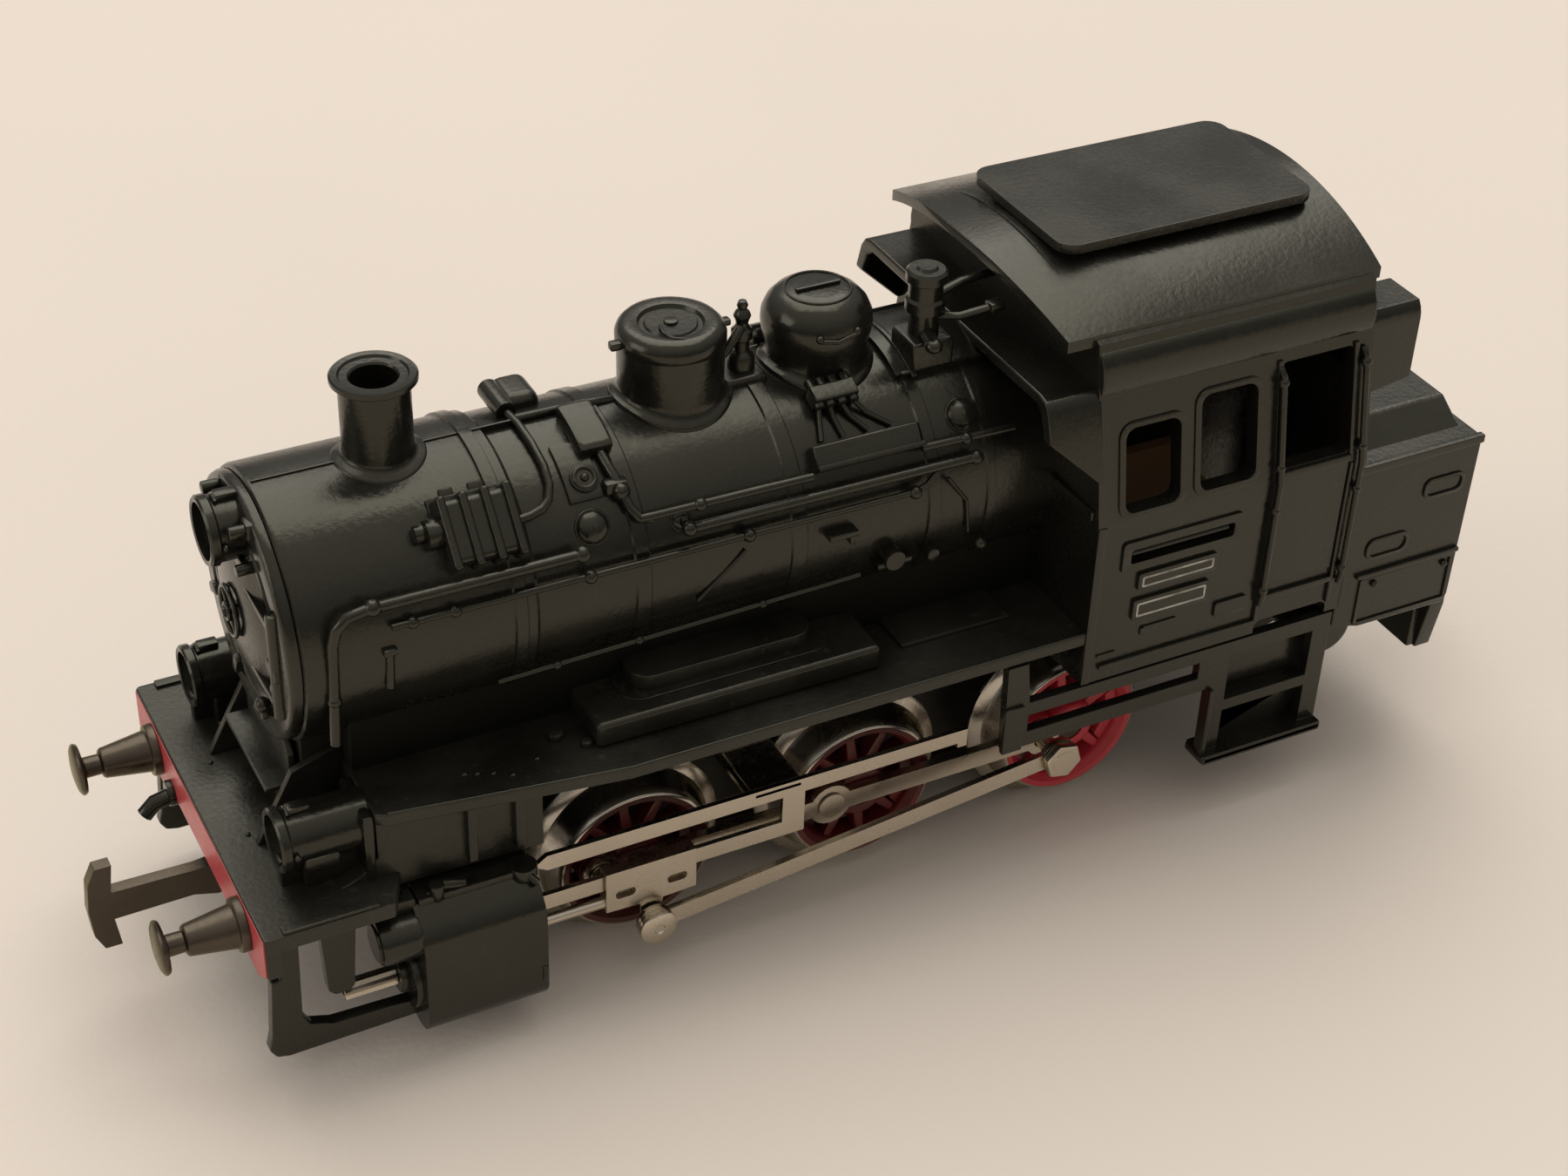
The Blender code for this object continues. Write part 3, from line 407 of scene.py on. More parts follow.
def aged_group():
    """Uneven colour, fine grain and hair scratches, shared by every finish."""
    group = bpy.data.node_groups.new("Aged surface", "ShaderNodeTree")
    add_socket = group.interface.new_socket
    for name, kind, default in (
        ("Base", "NodeSocketColor", (0.5, 0.5, 0.5, 1)),
        ("Worn", "NodeSocketColor", (0.6, 0.6, 0.6, 1)),
        ("Patch Scale", "NodeSocketFloat", 140.0),
        ("Grain Scale", "NodeSocketFloat", 2600.0),
        ("Wear", "NodeSocketFloat", 0.3),
        ("Specks", "NodeSocketFloat", 0.1),
        ("Roughness", "NodeSocketFloat", 0.4),
        ("Spread", "NodeSocketFloat", 0.15),
    ):
        add_socket(name=name, in_out="INPUT", socket_type=kind).default_value = default
    for name, kind in (("Colour", "NodeSocketColor"), ("Roughness", "NodeSocketFloat"),
                       ("Height", "NodeSocketFloat")):
        add_socket(name=name, in_out="OUTPUT", socket_type=kind)
    nodes, link = group.nodes, group.links.new
    source, target = nodes.new("NodeGroupInput"), nodes.new("NodeGroupOutput")
    place = nodes.new("ShaderNodeTexCoord").outputs["Object"]

    def noise(scale, detail, stretch=(1, 1, 1)):
        mapping = nodes.new("ShaderNodeMapping")
        mapping.inputs["Scale"].default_value = stretch
        texture = nodes.new("ShaderNodeTexNoise")
        texture.inputs["Detail"].default_value = detail
        texture.inputs["Scale"].default_value = scale
        link(place, mapping.inputs["Vector"])
        link(mapping.outputs["Vector"], texture.inputs["Vector"])
        return texture

    def ranged(value, low, high):
        step = nodes.new("ShaderNodeMapRange")
        step.inputs["From Min"].default_value = low
        step.inputs["From Max"].default_value = high
        link(value, step.inputs["Value"])
        return step.outputs["Result"]

    def maths(operation, first, second):
        node = nodes.new("ShaderNodeMath")
        node.operation = operation
        for index, value in enumerate((first, second)):
            if isinstance(value, float):
                node.inputs[index].default_value = value
            else:
                link(value, node.inputs[index])
        return node.outputs["Value"]

    patch = noise(1, 4)
    link(source.outputs["Patch Scale"], patch.inputs["Scale"])
    grain = noise(1, 2)
    link(source.outputs["Grain Scale"], grain.inputs["Scale"])
    patches = ranged(patch.outputs["Fac"], 0.38, 0.68)
    scratch_a = ranged(maths("ABSOLUTE", maths("SUBTRACT", noise(420, 1, (1, 0.12, 1)).outputs["Fac"], 0.5),
                             0.0), 0.006, 0.0)
    scratch_b = ranged(maths("ABSOLUTE", maths("SUBTRACT", noise(380, 1, (0.15, 1, 1)).outputs["Fac"], 0.5),
                             0.0), 0.006, 0.0)
    scratches = maths("MULTIPLY", maths("MAXIMUM", scratch_a, scratch_b),
                      ranged(noise(90, 2).outputs["Fac"], 0.52, 0.62))
    specks = ranged(noise(1500, 0).outputs["Fac"], 0.74, 0.8)
    wear = maths("MULTIPLY", maths("ADD", patches, scratches), source.outputs["Wear"])
    shown = maths("MINIMUM", maths("ADD", wear, maths("MULTIPLY", specks, source.outputs["Specks"])), 1.0)
    mix = nodes.new("ShaderNodeMix")
    mix.data_type = "RGBA"
    link(shown, mix.inputs["Factor"])
    link(source.outputs["Base"], mix.inputs[6])
    link(source.outputs["Worn"], mix.inputs[7])
    link(mix.outputs[2], target.inputs["Colour"])
    uneven = maths("SUBTRACT", maths("ADD", maths("MULTIPLY", patches, 0.6),
                                     maths("MULTIPLY", grain.outputs["Fac"], 0.8)), 0.7)
    link(maths("ADD", source.outputs["Roughness"], maths("MULTIPLY", uneven, source.outputs["Spread"])),
         target.inputs["Roughness"])
    link(maths("ADD", grain.outputs["Fac"], maths("MULTIPLY", patches, 0.5)), target.inputs["Height"])
    return group


def finish(name, base, worn, roughness, metallic=0.0, patch=140.0, grain=2600.0, wear=0.3, specks=0.1,
           spread=0.2,
           relief=0.02, coat=0.0, transmission=0.0, specular=0.5):
    """A finish made of the shared aged surface and its own shader values."""
    material = bpy.data.materials.new(name)
    material.use_nodes = True
    nodes, link = material.node_tree.nodes, material.node_tree.links.new
    shader = nodes["Principled BSDF"]
    shader.inputs["Metallic"].default_value = metallic
    shader.inputs["Coat Weight"].default_value = coat
    shader.inputs["Coat Roughness"].default_value = 0.2
    shader.inputs["Transmission Weight"].default_value = transmission
    shader.inputs["Specular IOR Level"].default_value = specular
    shader.inputs["Specular Tint"].default_value = (1, 0.985, 0.78, 1)
    aged = nodes.new("ShaderNodeGroup")
    aged.node_tree = bpy.data.node_groups.get("Aged surface") or aged_group()
    for key, value in (("Base", (*base, 1)), ("Worn", (*worn, 1)), ("Patch Scale", patch),
                       ("Grain Scale", grain),
                       ("Wear", wear), ("Specks", specks), ("Roughness", roughness), ("Spread", spread)):
        aged.inputs[key].default_value = value
    bump = nodes.new("ShaderNodeBump")
    bump.inputs["Strength"].default_value = relief
    bump.inputs["Distance"].default_value = 0.0004
    link(aged.outputs["Colour"], shader.inputs["Base Color"])
    link(aged.outputs["Roughness"], shader.inputs["Roughness"])
    link(aged.outputs["Height"], bump.inputs["Height"])
    link(bump.outputs["Normal"], shader.inputs["Normal"])
    return material


FINISHES = {}


def make_finishes(colours):
    plastic = tuple(colours.plastic)
    nickel = tuple(colours.nickel)
    wheel = tuple(colours.wheel)
    FINISHES.update(
        plastic=finish("satin_black_plastic", plastic, (0.034, 0.032, 0.026), 0.26, wear=0.16, specks=0.12,
                       relief=0.05),
        deck=finish("dusty_black_plastic", plastic, (0.05, 0.047, 0.038), 0.36, wear=0.3, specks=0.25,
                    relief=0.06),
        cast=finish("blackened_casting", (0.03, 0.029, 0.027), (0.09, 0.085, 0.08), 0.48, 0.5, wear=0.3),
        steel=finish("dark_burnished_steel", (0.075, 0.06, 0.045), (0.13, 0.11, 0.085), 0.36, 0.85,
                     wear=0.4, relief=0.04),
        nickel=finish("dull_nickel", nickel, (0.42, 0.37, 0.3), 0.3, 1.0, wear=0.35, specks=0.05,
                      relief=0.02),
        tyre=finish("worn_nickel_tyre", (0.5, 0.46, 0.4), (0.4, 0.36, 0.31), 0.26, 1.0, wear=0.35,
                    specks=0.05, relief=0.02),
        red=finish("crimson_casting", wheel, (0.5, 0.09, 0.1), 0.42, wear=0.3, relief=0.04),
        # The wheel crimson darkened to a tenth: painted shade for the wheel centres under the running
        # boards
        oily_red=finish("crimson_casting_painted_shade", [value * 0.1 for value in wheel],
                        [value * 0.4 for value in wheel], 0.38, wear=0.35, relief=0.04),
        beam=finish("beam_red_paint", tuple(colours.beam), (0.42, 0.07, 0.08), 0.36, wear=0.3, specks=0.2,
                    relief=0.03),
        brass=finish("machined_brass", (0.6, 0.42, 0.17), (0.35, 0.24, 0.1), 0.3, 1.0, wear=0.4),
        copper=finish("enamelled_copper", (0.45, 0.15, 0.06), (0.25, 0.08, 0.04), 0.35, 0.6, grain=1800,
                      relief=0.3),
        board=finish("brown_insulating_board", (0.15, 0.075, 0.035), (0.22, 0.13, 0.07), 0.55),
        carbon=finish("brush_carbon", (0.025, 0.025, 0.026), (0.06, 0.06, 0.06), 0.55),
        lens=finish("clear_lens", (0.16, 0.155, 0.135), (0.3, 0.29, 0.26), 0.14, transmission=0.35,
                    wear=0.3, relief=0.02),
        # The body plastic made darker and less shiny: painted shade for the skirt under the boiler
        hollow=finish("painted_shade_plastic", (0.004, 0.004, 0.003), (0.012, 0.012, 0.01), 0.6, wear=0.2,
                      specular=0.15),
        pale=finish("worn_white_line", (0.45, 0.44, 0.4), (0.12, 0.115, 0.1), 0.6, patch=700, wear=0.8),
    )


def body_piece(name, shapes, *replaced, finish_name="plastic"):
    return piece(name, shapes, FINISHES[finish_name], "loco", replaced)


# Boiler and its fittings


def barrel_profile():
    """The barrel's outer line from front to rear with its bands, then back along its hollow."""
    sizes = bpy.context.scene.locomotive_sizes
    box_r, boiler_r = sizes.smokebox_radius / MM, sizes.boiler_radius / MM
    line = [(box_r - 0.3, SMOKEBOX_FRONT), (box_r - 0.08, SMOKEBOX_FRONT - 0.12),
            (box_r, SMOKEBOX_FRONT - 0.35)]
    steps = [(28.9, 27.9, box_r, 0.16), (20.1, 18.9, boiler_r, 0.13), (8.5, 7.2, boiler_r, 0.13),
             (-2.2, -3.3, boiler_r, 0.16), (-6.9, -7.7, boiler_r, 0.16)]
    for front, rear, radius, height in steps:
        line += [(radius, front), (radius + height, front - 0.12), (radius + height, rear + 0.12),
                 (radius, rear)]
        if rear > 27:
            line += [(box_r, 27.3), (boiler_r, 27.0)]
    line += [(boiler_r, CAB_FRONT - 0.3), (boiler_r - WALL, CAB_FRONT - 0.3), (boiler_r - WALL, 41.2),
             (box_r - 0.3, 41.2)]
    return line


def cavity(bevel=0):
    """The space under the body that the motor, frame and wheels fill."""
    return block((-14.6, 38.6), (-6.75, 6.75), (11.5, 30), bevel)


def make_barrel():
    barrel = lathe(barrel_profile(), "X", (0, 0, BOILER_Z), True, 96)
    cut(barrel, cavity())
    return body_piece("boiler_barrel", [barrel], "body_shell")


def make_firebox():
    """The skirt under the barrel with the boxes and pads that stand on the running boards."""
    skirt = cut(block((-13.5, 40.0), (-7.4, 7.4), (19.8, 27), 0), cavity())
    softened(skirt, 0.15)
    trims = [
        block((2.6, 24.3), (7.2, 12.2), (20.6, 22.6), 0.4, 4),
        plate("XY", (22.4, 23.9), [rounded((6.8, 20.6), (6.7, 10.2), 1.5)], 0.55, 4),
        plate("XY", (22.45, 22.75), [rounded((5.6, 21.6), (7.0, 10.9), 1.6)], 0.16),
        block((-8.8, 0.2), (7.2, 10.9), (20.6, 21.0), 0.16),
        drum("Z", (26.4, 9.8), 0.55, (20.6, 21.2)),
        drum("Z", (24.8, 11.4), 0.4, (20.6, 21.1)),
    ]
    # The skirt takes the darker plastic: painted shade for the shadowed under-curve of the boiler
    body_piece("firebox_skirt", [skirt], finish_name="hollow")
    body_piece("running_board_boxes", [both_sides(*trims)], finish_name="deck")


def make_chimney():
    flue = 1.56
    profile = [(flue, 40.5), (flue, 45.6), (flue + 0.12, 45.74), (2.2, 45.76), (2.32, 45.92), (2.75, 45.96),
               (2.88, 45.84),
               (2.88, 45.56), (2.72, 45.42), (2.42, 45.36), (2.36, 45.15), (2.36, 40.5), (2.44, 40.28),
               (2.6, 40.16), (3.0, 40.1),
               (3.12, 40.0), (3.16, 39.8), (3.16, 38.9), (1.0, 38.9), (1.0, 40.5)]
    chimney = lathe(profile, "Z", (CHIMNEY_X, 0, 0), True, 72)
    seated(chimney, 9.45, 40.9, 40.25)
    return body_piece("chimney", [chimney])


def make_domes():
    sand = lathe([(0, 44.75), (1.75, 44.75), (1.85, 44.6), (2.15, 44.6), (2.3, 44.85), (2.9, 44.95),
                  (3.35, 44.82), (3.66, 44.5),
                  (3.8, 44.1), (3.8, 43.6), (3.68, 43.42), (3.66, 40.4), (3.74, 40.14), (3.95, 40.0),
                  (4.2, 39.92), (4.28, 39.75),
                  (4.28, 38.4), (0, 38.4)], "Z", (SAND_DOME_X, 0, 0), steps=72)
    seated(sand, 9.15, 40.6, 40.1)
    steam = lathe([(0, 44.95), (1.5, 44.95), (2.3, 44.85), (3.0, 44.5), (3.55, 43.9), (3.86, 43.2),
                   (3.92, 42.5),
                   (3.84, 41.9), (3.66, 41.3), (3.52, 40.8), (3.5, 40.4), (3.58, 40.14), (3.8, 40.0),
                   (4.02, 39.92), (4.1, 39.75),
                   (4.1, 38.4), (0, 38.4)], "Z", (STEAM_DOME_X, 0, 0), steps=72)
    seated(steam, 9.15, 40.6, 40.1)
    x = SAND_DOME_X
    details = [
        block((x + 3.3, x + 4.5), (-0.35, 0.35), (43.6, 44.2)),
        block((x - 4.4, x - 3.3), (-0.35, 0.35), (43.6, 44.1)),
        drum("Z", (x, 0), 0.5, (44.6, 44.95)),
        block((STEAM_DOME_X - 1.7, STEAM_DOME_X + 1.7), (-0.22, 0.22), (44.85, 45.2), 0.1),
        ring("Z", (STEAM_DOME_X, 0, 44.86), 2.3, 0.1),
        tube([(x + 1.2 * math.cos(a), 1.25 + 1.5 * math.sin(a), 44.9) for a in (-0.6, 0.1, 0.8, 1.4)],
             0.12),
        ball((STEAM_DOME_X + 1.6, 3.6, 43.0), 0.3),
        ball((STEAM_DOME_X - 1.2, 3.7, 43.1), 0.3),
        tube([(STEAM_DOME_X + 1.6, 3.7, 42.9), (STEAM_DOME_X + 0.4, 4.0, 42.75),
              (STEAM_DOME_X - 1.2, 3.8, 43.0)], 0.16),
    ]
    return body_piece("domes", [sand, steam, *details])


def make_safety_valve():
    x = (SAND_DOME_X + STEAM_DOME_X) / 2 + 0.25
    stack = lathe([(0, 45.3), (0.28, 45.2), (0.4, 44.9), (0.3, 44.6), (0.5, 44.4), (0.62, 44.1),
                   (0.5, 43.8), (0.42, 43.5),
                   (0.55, 43.2), (0.75, 43.0), (0.75, 42.4), (0.55, 42.2), (0.55, 41.4), (0.8, 41.2),
                   (0.95, 40.9),
                   (0.95, 39.2), (0, 39.2)], "Z", (x, 0.1, 0), steps=24)
    base = block((x - 1.3, x + 1.9), (-1.7, 1.7), (39.0, 40.1), 0.25, 3)
    arm = tube([(x + 0.2, 0.4, 43.3), (x + 1.2, 0.9, 42.6), (x + 1.9, 1.0, 41.9)], 0.34)
    return body_piece("safety_valve", [stack, base, arm])


def make_turret():
    """The whistle and valve turret ahead of the cab, on its folded plate."""
    sheet = wrapped((-8.6, -1.9), (64, 116), (8.9, 9.62), 0.14)
    lip = wrapped((-3.3, -2.9), (61, 119), (8.9, 9.8), 0.08)
    edges = [wrapped((-8.6, -2.2), (a, a + 1.6), (8.9, 9.85), 0.08, 2) for a in (63, 115.4)]
    ribs = [wrapped((-5.0 - k * 1.5, -4.6 - k * 1.5), (66, 76), (9.4, 9.78), 0.08, 3) for k in range(2)]
    x, y = -4.6, 2.9
    stand = block((x - 1.3, x + 1.3), (y - 1.3, y + 1.3), (39.2, 41.4), 0.25, 3)
    post = lathe([(0, 46.5), (0.5, 46.5), (0.62, 46.3), (1.0, 46.3), (1.15, 46.1), (1.15, 45.5),
                  (0.95, 45.3), (0.95, 44.2),
                  (1.1, 44.0), (1.1, 43.2), (0.85, 43.0), (0.85, 41.0), (0, 41.0)], "Z", (x, y, 0),
                 steps=28)
    arms = [
        tube([(x, y, 42.6), (x - 1.5, y + 1.2, 42.9), (x - 3.4, y + 1.6, 43.4)], 0.3),
        tube([(x, y, 41.8), (x + 0.4, y + 1.8, 41.6)], 0.42),
        tube([(x, y, 43.8), (x - 2.6, y - 0.6, 44.2), (x - 5.0, y - 0.8, 44.2)], 0.28),
        ball((x + 0.45, y + 1.95, 41.6), 0.52),
        block((x - 3.9, x - 3.0), (y + 1.2, y + 2.0), (43.1, 43.8), 0.15),
    ]
    place = Vector((x, y, 0)) * MM
    turret = joined(stand, post, *arms)
    moved(turret, Matrix.Translation(place) @ Matrix.Diagonal((1.28, 1.28, 1,
                                                               1)) @ Matrix.Translation(-place))
    return body_piece("whistle_turret", [sheet, lip, *edges, *ribs, turret])


def make_pump():
    """The ribbed feed pump on the smokebox side and the pipe loop behind it."""
    crown = BOILER_Z + 9.45
    shapes = [block((27.6, 32.9), (-2.4, 1.9), (crown - 1.1, crown + 1.5), 0.5, 4)]
    shapes += [block((x - 0.3, x + 0.3), (-2.7, 2.2), (crown - 1.2, crown + 1.9), 0.25, 3)
               for x in (28.1, 29.6, 31.1, 32.6)]
    shapes += [
        drum("X", (-0.6, crown + 0.55), 1.0, (32.7, 33.9), sides=24),
        drum("X", (-0.8, crown + 0.45), 0.6, (33.7, 34.6), sides=24),
        block((27.4, 33.1), (-2.9, -1.8), (crown - 1.2, crown - 0.1), 0.2),
        block((28.9, 30.0), (-3.4, -2.6), (crown - 1.7, crown - 0.3), 0.15),
        block((31.0, 32.0), (-3.4, -2.6), (crown - 1.7, crown - 0.3), 0.15),
    ]
    box = swung(joined(*shapes), 42)
    strap = wrapped((28.0, 28.9), (40, 91), (9.2, 9.72), 0.08)
    loop = tube(
        [barrel_point(x, angle, 9.5) for x, angle in ((24.9, 96), (24.8, 86), (24.7, 74), (24.6, 62),
                                                      (24.7, 54), (25.1, 48),
         (25.7, 45), (26.6, 43.5), (27.6, 43))], 0.3)
    return body_piece("feed_pump", [box, strap, loop])


def barrel_point(x, angle, radius):
    """A point off the barrel's axis, at an angle above the left side."""
    turn = math.radians(angle)
    return x, radius * math.cos(turn), BOILER_Z + radius * math.sin(turn)


def make_generator():
    """The small turbine on the boiler's shoulder, its pad, tap and steam pipe."""
    crown = BOILER_Z + 9.15
    pad = wrapped((21.3, 23.7), (44, 71), (8.9, 9.42), 0.1)
    disc = swung(joined(drum("Z", (22.3, 0), 1.0, (crown, crown + 0.5), sides=28),
                        ring("Z", (22.3, 0, crown + 0.5), 0.72, 0.16),
                        ball((22.3, 0, crown + 0.5), 0.3)), 53)
    body = wrapped((19.6, 22.1), (62, 88), (8.9, 10.25), 0.45, 8)
    pipe = tube([barrel_point(20.6, 64, 9.5), barrel_point(20.5, 56, 9.6), barrel_point(20.3, 50, 9.6),
                 barrel_point(20.2, 44, 9.7),
                 barrel_point(19.9, 37, 9.6), barrel_point(19.4, 32, 9.7), barrel_point(18.6, 31, 9.9)],
                0.36)
    elbow = joined(block((19.6, 21.2), (5.9, 6.9), (37.0, 37.9), 0.2),
                   ball(barrel_point(20.2, 44, 9.7), 0.62))
    far = joined(drum("Y", (24.9, 39.9), 0.75, (-4.6, -1.2), sides=24),
                 block((22.0, 24.6), (-5.5, -2.0), (38.0, 40.3), 0.8, 4))
    main = tube([(24.7, -0.3, 39.85), (20.0, -0.25, 39.85), (17.3, -0.2, 39.6)], 0.32)
    seam = block((24.9, 42.9), (-0.12, 0.12), (crown - 0.4, crown + 0.42), 0.06)
    return body_piece("generator_and_pipes", [pad, disc, body, pipe, elbow, far, main, seam])


def make_bosses():
    """Washout plugs on both sides of the barrel."""
    shapes = []
    for x, angle, radius in ((22.6, 33, 1.15), (-5.7, 41, 1.15), (16.4, 27, 0.7)):
        crown = BOILER_Z + 9.15
        dome = joined(ball((x, 0, crown), radius, (1, 1, 0.62), 24),
                      ring("Z", (x, 0, crown - 0.02), radius, 0.12),
                      drum("Z", (x, 0), 0.26, (crown + 0.4, crown + 0.75), sides=6, bevel=0.05))
        shapes.append(swung(dome, angle))
    return body_piece("washout_plugs", [both_sides(*shapes)])


def make_sandbox_pipes():
    """The four-way pipe bracket on the dome's foot, its pipes and the long tray below them."""
    crown = BOILER_Z + 9.15
    bracket = swung(joined(block((1.7, 5.1), (-0.6, 0.7), (crown + 0.1, crown + 1.5), 0.2),
                           *[drum("Y", (x, crown + 0.85), 0.38, (-1.3, 1.0), sides=16)
                             for x in (2.1, 3.0, 3.9, 4.7)]), 62)
    tray = swung(joined(block((-1.9, 6.3), (-0.8, 1.0), (crown - 0.2, crown + 1.0), 0.2, 3),
                        block((-2.0, 6.4), (0.6, 1.05), (crown - 0.2, crown + 1.35), 0.14)), 38)
    pipes = []
    for top, foot in ((2.1, -0.2), (3.0, 1.6), (3.9, 3.5), (4.7, 5.2)):
        pipes.append(tube([barrel_point(top, 58, 9.85), barrel_point((top * 2 + foot) / 3, 52, 9.4),
                           barrel_point(foot, 44, 9.4)], 0.2))
    return body_piece("sand_pipes", [both_sides(bracket, tray, *pipes)])


def make_rails():
    """Handrails, steam pipes and their knobs along both sides of the boiler."""
    tall = [
        tube([(24.3, 9.75, 35.1), (38.8, 9.95, 35.3), (40.3, 9.9, 35.0), (41.0, 9.8, 34.2),
              (41.3, 9.7, 33.0), (41.5, 9.4, 25.0)], 0.4),
        tube([(19.4, 8.5, 35.8), (18.6, 8.9, 36.1), (7.0, 8.95, 36.0)], 0.3),
        tube([(16.3, 9.25, 34.6), (-5.7, 9.25, 34.4)], 0.38),
        tube([(-1.6, 8.7, 35.9), (-9.0, 8.7, 35.7)], 0.3),
    ]
    low = [
        tube([(37.3, 9.55, 33.1), (-0.8, 9.55, 33.0), (-1.8, 9.5, 33.3), (-2.6, 9.3, 34.0)], 0.24),
        tube([(30.2, 9.3, 26.3), (3.1, 9.3, 27.0)], 0.2),
        tube([(37.5, 9.45, 31.2), (37.6, 9.4, 28.4)], 0.32),
        block((37.0, 38.0), (8.6, 9.8), (31.0, 31.5), 0.14),
        tube([(-3.6, 9.25, 33.2), (-5.2, 9.3, 31.0), (-5.6, 9.2, 28.2)], 0.14),
        tube([(12.0, 9.2, 31.6), (15.5, 9.1, 28.4)], 0.14),
        block((3.7, 6.0), (8.9, 10.1), (30.9, 31.4), 0.15),
        block((3.9, 4.3), (8.9, 9.9), (30.2, 31.2), 0.1),
        drum("Y", (0.6, 27.8), 0.8, (8.2, 10.0), sides=24),
        drum("Y", (-2.6, 27.3), 0.5, (8.2, 9.8), sides=20),
        block((-1.0, 1.8), (8.4, 9.6), (27.0, 27.6), 0.2),
        ball((-6.6, 9.4, 27.0), 0.5),
    ]
    for x, y, z, radius in ((24.2, 9.75, 35.1, 0.6), (38.6, 9.95, 35.3, 0.6), (35.9, 9.6, 33.1, 0.42),
                            (33.0, 9.6, 33.1, 0.42),
                            (23.6, 9.6, 33.05, 0.5), (12.0, 9.6, 33.05, 0.5), (-0.8, 9.6, 33.0, 0.5),
                            (16.3, 9.3, 34.6, 0.55),
                            (-5.7, 9.3, 34.4, 0.55), (15.4, 9.0, 36.1, 0.48), (-5.1, 8.8, 35.8, 0.45),
                            (41.4, 9.5, 28.5, 0.5),
                            (26.0, 9.35, 26.4, 0.34), (20.0, 9.35, 26.6, 0.34), (10.7, 9.35, 26.8, 0.34)):
        (tall if z > 34 else low).append(ball((x, y, z), radius, segments=14))
    return body_piece("boiler_rails", [*tall, both_sides(*low)])


# Smokebox front and lamps


def make_smokebox_front():
    x, z = SMOKEBOX_FRONT, BOILER_Z
    front = lathe([(0, x + 1.75), (1.6, x + 1.72), (3.4, x + 1.55), (4.9, x + 1.22), (5.8, x + 0.85),
                   (6.15, x + 0.78),
                   (6.3, x + 0.95), (6.6, x + 0.95), (6.75, x + 0.7), (7.3, x + 0.65), (7.45, x + 0.95),
                   (8.75, x + 0.95),
                   (9.05, x + 0.75), (9.18, x + 0.4), (9.12, x + 0.07), (0, x + 0.07)], "X", (0, 0, z),
                  steps=96)
    shapes = [front, ring("X", (x + 1.95, 0, z), 1.75, 0.17), ring("X", (x + 2.1, 0, z), 0.55, 0.16),
              drum("X", (0, z), 0.3, (x + 1.5, x + 2.45), sides=16)]
    for k in range(4):
        turn = math.radians(45 + 90 * k)
        shapes.append(tube([(x + 1.95, 0, z), (x + 1.95, 1.7 * math.cos(turn), z + 1.7 * math.sin(turn))],
                           0.13))
    for k in range(8):
        turn = math.radians(22 + 45 * k)
        y, h = 7.0 * math.cos(turn), z + 7.0 * math.sin(turn)
        if h < z + 5.5:
            lug = block((x + 0.5, x + 1.35), (-0.4, 0.4), (-0.75, 0.75), 0.15)
            shapes.append(moved(lug, Matrix.Translation((0, y * MM,
                                                         h * MM)) @ Matrix.Rotation(turn - math.pi / 2, 4,
                                                                                    "X")))
    for height in (-3.2, 3.0):
        shapes.append(block((x + 0.9, x + 1.45), (1.6, 7.2), (z + height - 0.3, z + height + 0.3), 0.14))
    shapes += [
        drum("Z", (x + 1.0, 6.9), 0.5, (z - 4.2, z + 4.0), sides=20),
        block((x + 0.6, x + 1.4), (5.6, 7.4), (z - 1.3, z - 0.2), 0.2),
        ball((x + 1.5, 4.3, z - 4.9), 0.55),
    ]
    return body_piece("smokebox_door", shapes, "smokebox_front")


def lamp(x, y, z, radius, tail):
    """A round lamp case, hollow at the front, with its rim, hinge and handle."""
    inner = radius - 0.45
    case = lathe([(inner, x + 0.1), (inner + 0.05, x + 1.9), (radius - 0.1, x + 1.95),
                  (radius + 0.05, x + 1.8), (radius + 0.05, x + 1.3),
                  (radius - 0.12, x + 1.15), (radius - 0.12, x - tail + 0.4), (radius - 0.45, x - tail),
                  (0.6, x - tail - 0.1),
                  (0.4, x - tail + 0.3), (0.4, x + 0.1)], "X", (0, y, z), True, 40)
    return joined(
        case,
        block((x - 0.6, x + 0.9), (y - 0.45, y + 0.45), (z + radius - 0.3, z + radius + 0.35), 0.14),
        tube([(x + 0.9, y - 0.5, z + radius - 0.05), (x + 0.9, y, z + radius + 0.2),
              (x + 0.9, y + 0.5, z + radius - 0.05)], 0.16),
        drum("Y", (x + 1.0, z), 0.22, (y + radius - 0.2, y + radius + 0.3), sides=12),
    )


